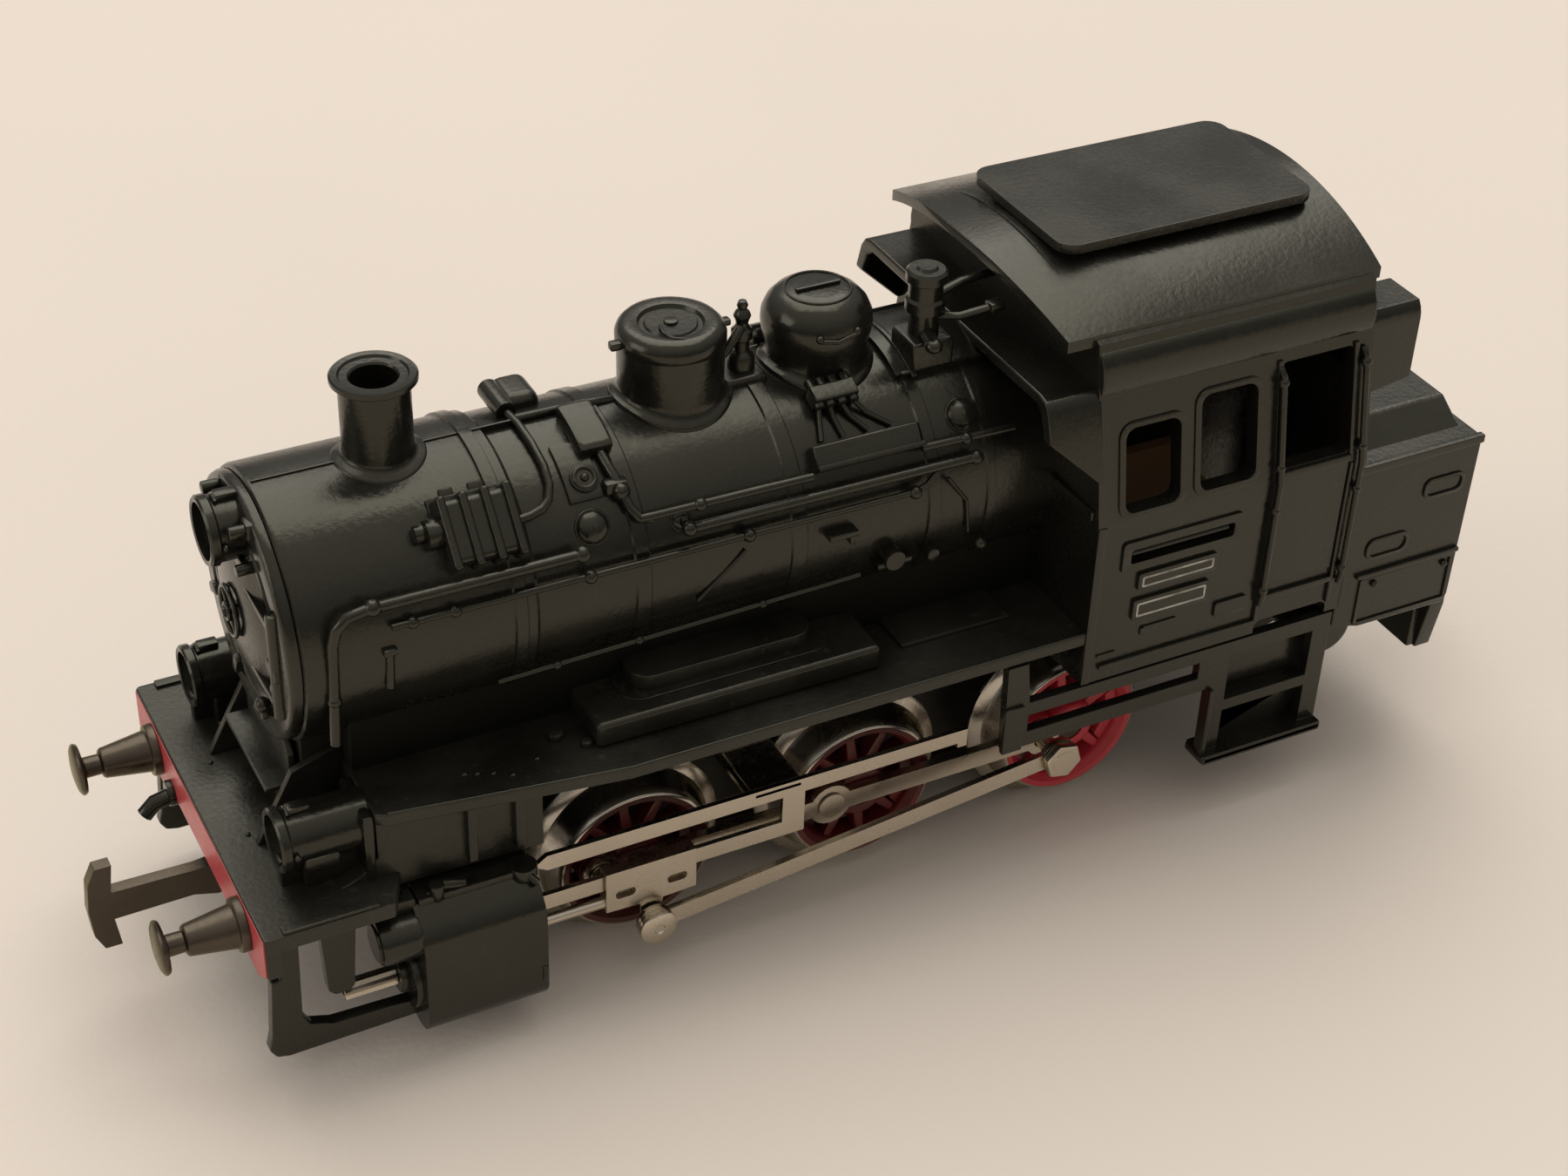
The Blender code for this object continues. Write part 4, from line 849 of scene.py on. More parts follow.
def make_lamps():
    lamp_x = low_high("lamp_lens_left", "X")[0]
    _, lamp_y, lamp_z = middle("lamp_lens_left")
    foot = joined(block((39.6, 44.8), (lamp_y - 1.15, lamp_y + 1.15), (14.8, 17.6), 0.3, 3),
                  block((40.4, 46.2), (lamp_y - 0.5, lamp_y + 0.5), (14.8, 17.2), 0.2),
                  block((40.2, 41.0), (lamp_y - 2.4, lamp_y + 2.4), (15.0, 20.4), 0.25),
                  block((42.6, 45.0), (lamp_y + 1.6, lamp_y + 2.3), (17.2, 18.2), 0.2))
    body_piece("deck_lamps", [both_sides(lamp(lamp_x, lamp_y, lamp_z, 2.2, 4.6), foot)])
    top_x = low_high("lamp_lens_top", "X")[0] - 0.45
    _, top_y, top_z = middle("lamp_lens_top")
    bracket = joined(block((43.2, 44.6), (-2.0, 2.0), (top_z - 2.6, top_z - 1.6), 0.2),
                     block((43.0, 44.4), (2.1, 3.4), (top_z + 0.6, top_z + 1.9), 0.25),
                     block((43.0, 44.2), (-3.4, -2.1), (top_z + 0.6, top_z + 1.8), 0.25),
                     drum("X", (2.9, top_z + 1.3), 0.45, (44.2, 45.4), sides=20),
                     drum("X", (-2.9, top_z + 1.3), 0.45, (44.2, 45.4), sides=20),
                     drum("X", (2.9, top_z - 1.6), 0.4, (43.4, 45.2), sides=20))
    body_piece("top_lamp", [lamp(top_x, top_y, top_z, 2.35, 1.1), bracket])
    for node in ("lamp_lens_left", "lamp_lens_right", "lamp_lens_top"):
        _, y, z = middle(node)
        start, end = low_high(node, "X")
        radius = (low_high(node, "Y")[1] - low_high(node, "Y")[0]) / 2
        lens = lathe([(0, end), (radius * 0.5, end - 0.12), (radius * 0.85, end - 0.5),
                      (radius - 0.06, end - 0.8), (radius - 0.06, start),
                      (0, start)], "X", (0, y, z), steps=40)
        piece(node + "_glass", [lens], FINISHES["lens"], "loco", [node])


# Footplate, beams and front


def make_footplate():
    board = [(40.2, 6.9), (40.2, 12.2), (39.6, 12.6), (34.0, 13.4), (28.0, 14.3), (23.0, 14.95),
             (-12.8, 15.0), (-13.3, 14.6), (-13.3, 6.9)]
    boards = plate("XY", (19.7, 20.65), [board], 0.16)
    edge = tube([(39.4, 12.45, 20.6), (34.0, 13.28, 20.62), (23.0, 14.82, 20.62), (-12.8, 14.86, 20.62)],
                0.16)
    curve = arc((43.6, 19.2), 4.3, 170, 262, 8)
    valance = plate("XZ", (10.5, 12.0), [[(28.3, 13.6), (28.3, 20.1), (39.3, 20.1)] + curve
                                         + [(43.2, 13.9)]], 0.15)
    ribs = [block((x - 0.35, x + 0.35), (11.9, 12.6), (14.4, 19.6), 0.12) for x in (30.2, 33.6)]
    studs = [ball((x, y, 20.65), 0.22, segments=10) for x, y in ((30.5, 12.3), (31.6, 11.6), (32.6, 11.2),
                                                                 (28.4, 11.4), (33.4, 10.9))]
    body_piece("running_boards", [both_sides(boards, edge, valance, *ribs, *studs)], finish_name="deck")
    deck = plate("XY", (13.8, 15.0), [[(38.6, 11.9), (40.0, 14.82), (48.7, 14.82), (48.95, 14.6),
                                       (48.95, -14.6), (48.7, -14.82),
                 (40.0, -14.82), (38.6, -11.9)]], 0.14)
    shapes = [
        deck,
        block((39.0, 40.1), (-11.95, 11.95), (14.2, 20.3), 0.15),
        cut(block((39.6, 42.7), (-5.0, 5.0), (14.3, 24.0), 0.2),
            drum("Z", (middle("lamp_bulb")[0], 0), 2.6, (12, 24.6), bevel=0)),
        block((40.0, 43.6), (-4.2, 4.2), (14.9, 15.5), 0.18),
    ]
    step = plate("YZ", (43.0, 43.5), [mirrored([(2.9, 23.2), (4.6, 21.0), (4.6, 15.0)])], 0.12)
    tread = block((42.8, 45.2), (-4.5, 4.5), (18.3, 18.7), 0.12)
    slopes = both_sides(plate("XZ", (5.0, 5.6), [[(40.0, 15.0), (46.4, 15.0), (43.6, 20.4), (40.0, 21.8)]],
                              0.12),
                        block((40.2, 42.0), (6.0, 8.2), (15.0, 17.8), 0.3, 3),
                        block((41.0, 47.6), (13.9, 14.7), (14.9, 15.25), 0.1),
                        ball((46.6, 4.2, 15.0), 0.2), ball((44.6, -8.2, 15.0), 0.2),
                        ball((43.2, 7.4, 15.0), 0.22))
    body_piece("front_deck", [*shapes, step, tread, slopes], finish_name="deck")


def beam_outline(half, waist, top, foot):
    return mirrored([(5.4, waist), (7.4, foot), (12.7, foot), (half, waist + 0.2), (half, top)])


def make_beams():
    front = plate("YZ", (47.8, BEAM_FRONT - 0.08), [beam_outline(14.75, 11.4, 14.9, 10.2)], 0.12)
    stub = joined(tube([(BEAM_FRONT - 0.4, -6.2, 11.6), (BEAM_FRONT + 1.4, -6.2, 11.2),
                        (BEAM_FRONT + 2.2, -6.2, 10.4)], 0.62),
                  drum("X", (-6.2, 11.7), 0.95, (BEAM_FRONT - 0.3, BEAM_FRONT + 0.5), sides=24))
    body_piece("front_beam", [front, stub])
    paint = plate("YZ", (BEAM_FRONT - 0.12, BEAM_FRONT), [beam_outline(14.6, 11.5, 14.8, 10.35)], 0.04)
    piece("front_beam_paint", [paint], FINISHES["beam"], "loco")
    rear = plate("YZ", (BEAM_REAR, -46.9), [beam_outline(13.4, 11.4, 14.6, 7.3)], 0.15)
    drop = both_sides(block((-47.9, -46.2), (7.6, 12.5), (7.4, 13.8), 0.2))
    body_piece("rear_beam", [rear, drop])


# Cab, roof and bunker


def roof_arc(rise=0.0, count=20):
    """The roof's cross-section above the left eave, from the sheet's edge to the crown."""
    height = ROOF_TOP - EAVE_Z
    radius = (EAVE_Y**2 + height**2) / (2 * height)
    swing = math.degrees(math.asin(SHEET_EDGE_Y / (radius + rise)))
    return arc((0, ROOF_TOP - radius), radius + rise, 90 - swing, 90, count)


def cab_section(inset=0.0, foot=CAB_FOOT):
    top = roof_arc(-inset, 16)
    side = [(HALF_WIDTH - inset, foot), (HALF_WIDTH - inset, WAIST_Z), (EAVE_Y - inset, EAVE_Z - inset)]
    return mirrored(side + top[1:])


WINDOWS = {"front": ((-19.5, -14.8), (30.4, 37.0), 0.8), "rear": ((-26.0, -21.1), (30.6, 38.1), 0.8)}
DOORWAY = ((-34.4, -28.0), (30.6, 38.8), 0.5)
SHEET_EDGE_Y = 12.2
CORNICE = [(11.6, 42.2), (12.2, 43.0), (12.9, 42.7), (13.35, 41.9), (13.5, 40.9), (13.4, 40.0),
           (13.1, 39.4), (11.9, 39.4)]


def make_cab():
    walls = plate("YZ", (CAB_REAR, CAB_FRONT), [cab_section()], 0)
    cutters = [plate("YZ", (-34.9, CAB_FRONT - WALL), [cab_section(WALL, 10)], 0)]
    for x, z, radius in (*WINDOWS.values(), DOORWAY, ((-34.6, -28.0), (13.0, 17.2), 0.6),
                         ((-24.6, -15.7), (26.1, 27.3), 0.3)):
        depth = (13.9, 15.4) if z[0] == 26.1 else (11, 17)
        for sign in SIDES.values():
            cutters.append(plate("XZ", [sign * value for value in depth], [rounded(x, z, radius)], 0))
    for sign in SIDES.values():
        cutters.append(drum("X", (sign * 10.2, 37.0), 1.7, (-15, -10), bevel=0))
        cutters.append(drum("X", (sign * 11.0, 37.6), 1.5, (-37, -34), bevel=0))
    cut(walls, *cutters)
    softened(walls, 0.16, 2, 30)
    body_piece("cab_walls", [walls])


def make_cab_details():
    """Window frames, door, rails, plates and hoods on both sides of the cab."""
    face = HALF_WIDTH
    upper = []
    for x, z, radius in WINDOWS.values():
        grown = rounded((x[0] - 0.45, x[1] + 0.45), (z[0] - 0.45, z[1] + 0.45), radius + 0.35)
        upper.append(plate("XZ", (face - 0.1, face + 0.13),
                           [grown, rounded((x[0] + 0.05, x[1] - 0.05), (z[0] + 0.05, z[1] - 0.05), radius)],
                           0.09))
    (rear_x, front_x), (sill, head), _ = DOORWAY
    upper += [
        block((rear_x - 0.3, rear_x + 0.15), (face - 0.1, face + 0.2), (WAIST_Z, head + 0.4), 0.08),
        block((front_x - 0.05, front_x + 0.4), (face - 0.1, face + 0.2), (WAIST_Z, head + 0.4), 0.08),
        block((rear_x, front_x), (face - 0.3, face + 0.3), (sill - 0.7, sill - 0.1), 0.14),
    ]
    lower = [
        block((rear_x + 0.1, front_x), (face - 0.1, face + 0.12), (20.4, WAIST_Z + 0.3), 0.08),
        block((front_x, front_x + 0.35), (face - 0.1, face + 0.28), (17.2, WAIST_Z), 0.09),
        block((rear_x - 0.3, rear_x + 0.05), (face - 0.1, face + 0.28), (17.2, WAIST_Z), 0.09),
        block((rear_x, front_x), (face - 0.1, face + 0.34), (19.2, 19.7), 0.12),
        block((-28.0, -14.0), (face - 0.1, face + 0.3), (17.2, 17.6), 0.12),
        block((CAB_FRONT - 0.75, CAB_FRONT + 0.02), (face - 0.2, face + 0.12), (CAB_FOOT, WAIST_Z), 0.1),
        plate("XZ", (face - 0.1, face + 0.2), [rounded((-25.3, -15.0), (25.4, 28.0), 0.35),
                                               rounded((-24.6, -15.7), (26.1, 27.3), 0.25)], 0.08),
        tube([(-24.3, face - 0.35, 26.7), (-16.0, face - 0.35, 26.7)], 0.26),
        plate("XZ", (face - 0.1, face + 0.26), [rounded((-23.4, -16.6), (23.5, 25.0), 0.2)], 0.1),
        plate("XZ", (face - 0.1, face + 0.26), [rounded((-23.0, -16.4), (20.9, 22.7), 0.2)], 0.1),
        plate("XZ", (face - 0.1, face + 0.22), [rounded((-26.7, -23.9), (18.9, 20.2), 0.2)], 0.08),
        block((-20.5, -17.4), (face - 0.1, face + 0.14), (19.8, 20.0), 0.05),
        block((-17.7, -17.4), (face - 0.1, face + 0.14), (19.3, 20.0), 0.05),
        block((-15.4, -13.8), (face - 0.1, face + 0.14), (18.3, 18.5), 0.05),
    ]
    for x in (front_x + 0.1, rear_x - 0.75):
        upper += [tube([(x, face + 0.5, WAIST_Z - 0.2), (x, face + 0.5, 38.0), (x, face + 0.05, 38.6)],
                       0.26),
                  ball((x, face + 0.42, 37.6), 0.44, segments=14),
                  ball((x, face + 0.42, 31.0), 0.4, segments=14)]
        lower += [tube([(x, face + 0.3, 19.0), (x, face + 0.5, 19.9), (x, face + 0.5, WAIST_Z)], 0.26),
                  ball((x, face + 0.42, 20.4), 0.42, segments=14),
                  ball((x, face + 0.42, 27.5), 0.4, segments=14)]
    body_piece("cab_side_fittings", [both_sides(leaned(joined(*upper)), joined(*lower))])
    marks = []
    for x, z in (((-23.1, -16.9), (23.8, 24.7)), ((-22.7, -16.7), (21.2, 22.4))):
        marks.append(plate("XZ", (face + 0.22, face + 0.29),
                           [rounded(x, z, 0.15), rounded((x[0] + 0.16, x[1] - 0.16),
                                                         (z[0] + 0.16, z[1] - 0.16), 0.1)], 0))
    piece("plate_borders", [both_sides(*marks)], FINISHES["pale"], "loco")
    guard = both_sides(visor((8.8, 13.2), CAB_REAR - 0.3, -40.3, (34.0, 34.6, 40.8)),
                       block((CAB_FRONT, CAB_FRONT + 0.35), (7.2, 14.4), (30.2, 31.0), 0.12))
    body_piece("spectacle_visors", [guard, make_hood()])


def make_hood():
    """The hood across the cab front. It drops down outside each round window and its mouth slants back."""
    drop = [(0, 40.25), (11.9, 40.25), (12.9, 40.0), (13.4, 39.3), (14.15, 36.9), (14.85, 33.6),
            (13.8, 33.6), (13.1, 36.9),
            (12.4, 38.8), (11.8, 39.35), (0, 39.35)]
    hood = plate("YZ", (CAB_FRONT - 0.3, -8.6), [mirrored(drop)], 0)
    slant = [(-7.5, 33), (-7.5, 37.2), (-8.6, 37.2), (-12.4, 33.6), (-12.4, 33)]
    cut(hood, plate("XZ", (-15, 15), [slant], 0))
    return softened(hood, 0.22, 3, 30)


def visor(across, wall, tip, heights):
    """A hood with an arched top and a slanted mouth, standing out from a wall over a round window."""
    foot, mouth, top = heights
    y, half = sum(across) / 2, (across[1] - across[0]) / 2
    arch = [(y + half, foot), *[(a, min(b, top)) for a, b in arc((y, top - half * 0.62), half, 0, 180, 14)],
            (y - half, foot)]
    hood = plate("YZ", (wall + 0.6, tip), [arch], 0)
    slant = [(tip - 1, foot - 1), (tip - 1, mouth), (tip, mouth), (wall - 0.4, foot),
             (wall - 0.4, foot - 1)]
    recess = drum("X", (y, (foot + top) / 2 + 0.3), half * 0.66, (wall, tip - 1), bevel=0)
    cut(hood, plate("XZ", (y - 3, y + 3), [slant], 0), recess)
    return softened(hood, 0.14, 2, 30)


def make_roof():
    """The roof sheet with its hatch, and the rounded cornice under the sheet's edges."""
    outer = roof_arc(0.3)
    inner = list(reversed(roof_arc(-0.45)))
    under = [(-a, b) for a, b in reversed(inner[1:])] + inner
    sheet = plate("YZ", (-36.6, -10.4), [outer[:-1] + [(0, outer[-1][1])]
                                         + [(-a, b) for a, b in reversed(outer[:-1])] + under], 0)
    sheet = bowed(cut_across(sheet, -16.0))
    softened(sheet, 0.16, 3)
    hatch = plate("XY", (46.95, ROOF_TOP + 0.78), [rounded((-34.6, -13.3), (-6.5, 6.5), 1.4)], 0.22, 3)
    coaming = plate("XY", (45.0, 47.05), [rounded((-33.7, -14.2), (-5.6, 5.6), 1.2)], 0.1)
    cornice = plate("YZ", (-35.9, -12.8), [CORNICE], 0.18, 3)
    body_piece("cab_roof", [sheet, hatch, coaming, both_sides(cornice)])


def cut_across(shape, x):
    """Adds an edge loop across a shape at one place along X."""
    active(shape)
    bpy.ops.object.mode_set(mode="EDIT")
    bpy.ops.mesh.select_all(action="SELECT")
    bpy.ops.mesh.bisect(plane_co=(x * MM, 0, 0), plane_no=(1, 0, 0))
    bpy.ops.object.mode_set(mode="OBJECT")
    return shape


def bowed(sheet):
    """Bows the roof's front edge forward and dips it a little, most at the centre line."""
    for vertex in sheet.data.vertices:
        if vertex.co.x > -12 * MM:
            share = 1 - min(1.0, abs(vertex.co.y) / (SHEET_EDGE_Y * MM)) ** 2
            vertex.co.x += share * 1.1 * MM
            vertex.co.z -= share * 0.9 * MM
    return sheet


def make_bunker():
    side = [(-35.6, 14.4), (-38.6, 13.5), (-46.6, 13.4), (-46.9, 14.2), (BUNKER_REAR, BUNKER_TOP),
            (-35.6, BUNKER_TOP)]
    box = plate("XZ", (-HALF_WIDTH, HALF_WIDTH), [side], 0)
    cut(box, block((-45.9, -34.0), (-13.8, 13.8), (10, 27.4), 0))
    softened(box, 0.2, 2)
    coal = plate("YZ", (-46.4, -35.5), [mirrored([(13.7, 28.3), (10.8, 30.25)])], 0.3, 3)
    body_piece("bunker", [box, coal])
    face = HALF_WIDTH
    x0, x1, z0, z1 = -46.9, -37.6, 13.9, 18.7
    shapes = [
        outline_ring((-46.0, -42.2), (24.2, 26.0), 0.7),
        outline_ring((-41.6, -37.6), (19.9, 21.8), 0.8),
        outline_ring((x0 + 0.4, x1), (z0, z1 - 0.4), 0.25),
        block((x0 + 0.1, x1 + 0.5), (face - 0.1, face + 0.34), (z1 - 0.3, z1 + 0.1), 0.12),
        ball((x0 + 1.2, face + 0.1, z1 - 1.2), 0.3, segments=12),
        ball((x1 - 1.4, face + 0.1, z1 - 1.2), 0.3, segments=12),
        drum("Y", (-37.4, 12.0), 2.3, (5.5, 12.8), sides=40, bevel=0.5),
    ]
    rear = [block((BUNKER_REAR - 0.3, BUNKER_REAR + 0.1), (3.0, 3.5), (16.0, 27.0), 0.12),
            tube([(BUNKER_REAR - 0.55, 9.5, 24.6), (BUNKER_REAR - 0.55, 13.2, 24.6)], 0.24),
            ball((BUNKER_REAR - 0.4, 9.5, 24.6), 0.36), ball((BUNKER_REAR - 0.4, 13.2, 24.6), 0.36)]
    lip = block((BUNKER_REAR - 0.15, CAB_REAR + 0.4), (face - 0.5, face + 0.12),
                (BUNKER_TOP - 0.6, BUNKER_TOP + 0.1), 0.12)
    body_piece("bunker_fittings", [both_sides(*shapes, *rear, lip)])


def outline_ring(x, z, radius):
    """A raised outline on the bunker's side."""
    inner = rounded((x[0] + 0.28, x[1] - 0.28), (z[0] + 0.28, z[1] - 0.28), max(0.1, radius - 0.2))
    return plate("XZ", (HALF_WIDTH - 0.1, HALF_WIDTH + 0.16), [rounded(x, z, radius), inner], 0.06)


# Buffers, hooks, cylinders, steps


def make_buffers():
    for side in SIDES:
        node = "buffer_front_" + side
        _, y, z = middle(node)
        foot, head = low_high(node, "X")
        profile = [(0, head), (1.0, head - 0.03), (1.6, head - 0.14), (1.84, head - 0.28),
                   (1.9, head - 0.42), (1.8, head - 0.62),
                   (1.0, head - 0.74), (0.76, head - 0.84), (0.74, head - 1.9), (0.98, head - 2.0),
                   (1.1, head - 2.15),
                   (1.52, foot + 0.75), (1.58, foot + 0.62), (1.84, foot + 0.55), (1.9, foot + 0.45),
                   (1.9, foot), (0, foot)]
        shape = lathe(profile, "X", (0, y, z), steps=48)
        piece(node + "_turned", [shape], FINISHES["steel"], "loco", [node])
    for end in ("front", "rear"):
        node = "hook_" + end
        piece(node + "_casting", [refined(node, 0.14)], FINISHES["steel"], end + "_hook", [node])


FLUTES = 8
FLUTE_RADII = (0.6, 0.76)


def make_cylinders():
    """Cylinders with bevelled faces, caps and covers, and the guard irons ahead of them."""
    casing = [(9.7, 2.7), (13.4, 2.35), *arc((13.6, 4.4), 2.0, -80, -8, 5), (15.6, 5.2), (15.6, 10.2),
              (15.3, 11.2), (14.6, 12.1),
              (13.4, 13.0), (9.7, 13.15)]
    front, rear = 38.45, 29.65
    shapes = [
        plate("YZ", (rear, front), [casing], 0.3, 3),
        block((rear + 0.6, front - 0.4), (9.0, 13.6), (12.4, 13.4), 0.2),
        drum("X", (13.6, 10.9), 1.75, (front - 0.2, 41.2), sides=10, bevel=0.25),
        drum("X", (13.6, 10.9), 1.35, (41.0, 41.35), sides=32, bevel=0.1),
        drum("X", (12.4, 6.4), 2.6, (front - 0.3, 39.0), sides=40),
        drum("X", (12.4, 6.4), 1.35, (38.8, 39.6), sides=32),
        drum("X", (13.2, 11.0), 1.3, (rear - 0.05, rear - 0.02), sides=24, bevel=0),
        drum("Z", (36.6, 13.2), 0.55, (12.9, 14.1), sides=16),
        tube([(37.6, 13.0, 12.8), (36.0, 13.0, 13.7), (34.6, 13.0, 13.3)], 0.42),
        drum("Z", (30.4, 13.2), 1.0, (12.6, 13.6), sides=20),
        tube([(30.6, 13.4, 13.3), (29.9, 14.6, 12.8)], 0.3),
        block((rear, rear + 0.5), (14.6, 15.75), (4.6, 6.0), 0.2),
    ]
    guard = plate("XZ", (12.4, 13.4), [[(46.3, 13.6), (46.5, 6.2), (46.0, 5.2), (44.6, 4.7), (38.2, 4.5),
                                        (38.2, 3.1), (47.4, 2.9),
                  (48.6, 3.2), (49.0, 3.9), (48.7, 5.2), (48.4, 9.8), (47.75, 10.0), (47.75, 13.6)]], 0.16)
    tab = plate("XZ", (12.4, 13.4), [[(42.3, 13.6), (42.6, 9.4), (42.7, 7.6), (43.1, 7.2), (44.2, 7.2),
                                      (44.6, 7.6), (44.9, 13.6)]], 0.16)
    rail = block((38.2, 47.5), (11.6, 13.5), (12.5, 13.6), 0.16)
    bridge = cut(block((29.8, 38.2), (-10.2, 10.2), (12.25, 13.15), 0.12),
                 drum("Z", (CHIMNEY_X, 0), 2.5, (11, 14), bevel=0))
    body_piece("cylinders", [bridge, both_sides(*shapes, guard, tab, rail)], "cylinder_block")
    for side in SIDES:
        node = "piston_tube_" + side
        _, y, z = middle(node)
        start, end = low_high(node, "X")
        star = [(y + FLUTE_RADII[k % 2] * math.cos(k * math.pi / FLUTES),
                 z + FLUTE_RADII[k % 2] * math.sin(k * math.pi / FLUTES)) for k in range(2 * FLUTES)]
        fluted = plate("YZ", (start, end), [star, circle((y, z), 0.36, 16)], 0.05)
        piece(node + "_fluted", [fluted], FINISHES["nickel"], "loco", [node])


def make_steps():
    for side, sign in SIDES.items():
        node = "step_frame_" + side
        low, high = sorted((sign * 13.4, sign * 15.9))
        lips = [block((-35.6, -24.4), (low, high), (5.05, 5.85), 0.25, 3),
                block((-34.4, -25.6), sorted((sign * 13.42, sign * 13.8)), (5.5, 15.0), 0.1),
                block((-24.9, -24.5), sorted((sign * 14.9, sign * 15.5)), (5.6, 12.0), 0.1),
                block((-7.9, -6.2), sorted((sign * 14.9, sign * 15.4)), (12.0, 16.0), 0.12)]
        body_piece(node + "_moulding", [refined(node, 0.14), *lips], node)


# Wheels and motion gear


def crank_angle(side):
    """Where a side's crank pins stand, read from the rear pin and axle."""
    pin, hub = middle("crank_screw_" + side), middle("axle_rear")
    return math.atan2(pin[2] - hub[2], pin[0] - hub[0])


CRANK_THROW = 3.1


def make_wheels():
    for axle in AXLES:
        body = axle + "_wheelset"
        x = middle("axle_" + axle)[0]
        for side, sign in SIDES.items():
            node = f"wheel_{axle}_{side}"
            place = (x, 0, AXLE_Z)
            tyre = lathe([(r, sign * y) for r, y in ((5.5, 7.0), (5.5, 9.9), (5.56, 10.0), (5.72, 10.0),
                                                     (5.84, 9.9), (6.1, 9.3), (6.42, 8.2),
                         (6.65, 7.85), (7.35, 7.65), (7.58, 7.45), (7.6, 7.25), (7.45, 7.05), (7.2, 7.0))],
                         "Y", place, True, 96)
            piece(node + "_tyre", [tyre], FINISHES["tyre"], body, [node])
            rim = lathe([(r, sign * y) for r, y in ((4.7, 7.3), (4.7, 9.2), (4.85, 9.5), (5.1, 9.8),
                                                    (5.2, 9.96), (5.6, 10.04), (5.66, 9.96), (5.48, 9.8),
                                                    (5.48, 7.3))], "Y", place, True, 72)
            hub = lathe([(r, sign * y) for r, y in ((1.16, 10.15), (1.5, 10.2), (1.95, 10.1), (2.15, 9.85),
                                                    (2.25, 9.2), (2.25, 7.3), (1.16, 7.3))],
                        "Y", place, True, 40)
            shapes = [rim, hub]
            start = crank_angle(side)
            for k in range(10):
                spoke = block((1.9, 5.1), sorted((sign * 7.6, sign * 9.15)), (-0.42, 0.42), 0.2, 2)
                taper(spoke, 1.9, 5.1, 1.15, 0.78)
                turn = Matrix.Rotation(-(start + math.pi * 2 * k / 10), 4, "Y")
                shapes.append(moved(spoke, Matrix.Translation(Vector(place) * MM) @ turn))
            pin_x, pin_z = x + CRANK_THROW * math.cos(start), AXLE_Z + CRANK_THROW * math.sin(start)
            shapes.append(drum("Y", (pin_x, pin_z), 1.5, (sign * 7.4, sign * 10.2), sides=32))
            weight = [(x + r * math.cos(a), AXLE_Z + r * math.sin(a)) for r, a in
                      [(5.1, start + math.pi + d) for d in (-0.55, -0.3, 0, 0.3, 0.55)]
                      + [(3.9, start + math.pi + d) for d in (0.5, 0, -0.5)]]
            shapes.append(plate("XZ", (sign * 7.6, sign * 9.1), [weight], 0.12))
            # Front and middle centres take the darkened crimson copy as painted shade; the rear centres
            # keep the plain crimson
            piece(node + "_centre", shapes, FINISHES["red" if axle == "rear" else "oily_red"],
                  body)
            if axle != "rear":
                pin = joined(drum("Y", (pin_x, pin_z), 0.7, (sign * 10.1, sign * 11.15), sides=24,
                                  bevel=0.05),
                             drum("Y", (pin_x, pin_z), 1.05, (sign * 11.06, sign * 11.25), sides=28,
                                  bevel=0.06))
                piece(node + "_pin", [pin], FINISHES["nickel"], body)
        shaft = drum("Y", (x, AXLE_Z), 1.15, (-10.12, 10.12), sides=40, bevel=0.2)
        piece(f"axle_{axle}_turned", [shaft], FINISHES["steel"], body, ["axle_" + axle])


def taper(shape, start, end, first, last):
    """Scales a radial bar's height from one share at its inner end to another at its outer end."""
    for vertex in shape.data.vertices:
        along = (vertex.co.x / MM - start) / (end - start)
        vertex.co.z *= first + (last - first) * along
    return shape


def make_rods():
    for side, sign in SIDES.items():
        piece(f"coupling_rod_{side}_plated", [refined("coupling_rod_" + side, 0.09)], FINISHES["nickel"],
              "coupling_" + side,
              ["coupling_rod_" + side])
        body = "connecting_" + side
        piece(f"connecting_rod_{side}_plated", [refined("connecting_rod_" + side, 0.08)],
              FINISHES["nickel"], body,
              ["connecting_rod_" + side])
        wrist = middle("wrist_screw_" + side)
        outer = max(abs(value) for value in low_high("wrist_screw_" + side, "Y"))
        screw = [(0, outer - 0.12), (0.35, outer - 0.1), (0.42, outer), (1.2, outer - 0.03),
                 (1.4, outer - 0.16), (1.45, outer - 0.35),
                 (1.42, outer - 0.68), (0.55, outer - 0.7), (0.55, outer - 1.3), (0, outer - 1.3)]
        piece(f"wrist_screw_{side}_turned", [lathe([(r, sign * y) for r, y in screw], "Y",
                                                   (wrist[0], 0, wrist[2]), steps=40)],
              FINISHES["nickel"], body, ["wrist_screw_" + side])
        pin = middle("crank_screw_" + side)
        head = drum("Y", (pin[0], pin[2]), 1.6, (sign * 13.35, sign * 14.05), sides=6, bevel=0.16, turn=0.3)
        shank = drum("Y", (pin[0], pin[2]), 0.7, (sign * 8.5, sign * 13.6), sides=32)
        dot = drum("Y", (pin[0], pin[2]), 0.95, (sign * 13.9, sign * 14.09), sides=32, bevel=0.05)
        piece(f"crank_screw_{side}_hexagon", [head, shank, dot], FINISHES["nickel"],
              "rear_wheelset", ["crank_screw_" + side])


def make_slide_gear():
    for side, sign in SIDES.items():
        strip = block((8.4, 12.4), sorted((sign * 6.9, sign * 12.2)), (11.85, 12.5), 0.2, 3)
        piece(f"guide_bracket_{side}_bent", [strip], FINISHES["nickel"], "loco")
        piece(f"guide_plate_{side}_pressed", [refined("guide_plate_" + side, 0.07)], FINISHES["nickel"],
              "loco",
              ["guide_plate_" + side])
        piece(f"crosshead_{side}_folded", [refined("crosshead_" + side, 0.09)], FINISHES["nickel"],
              "slider_" + side,
              ["crosshead_" + side])


# Works inside


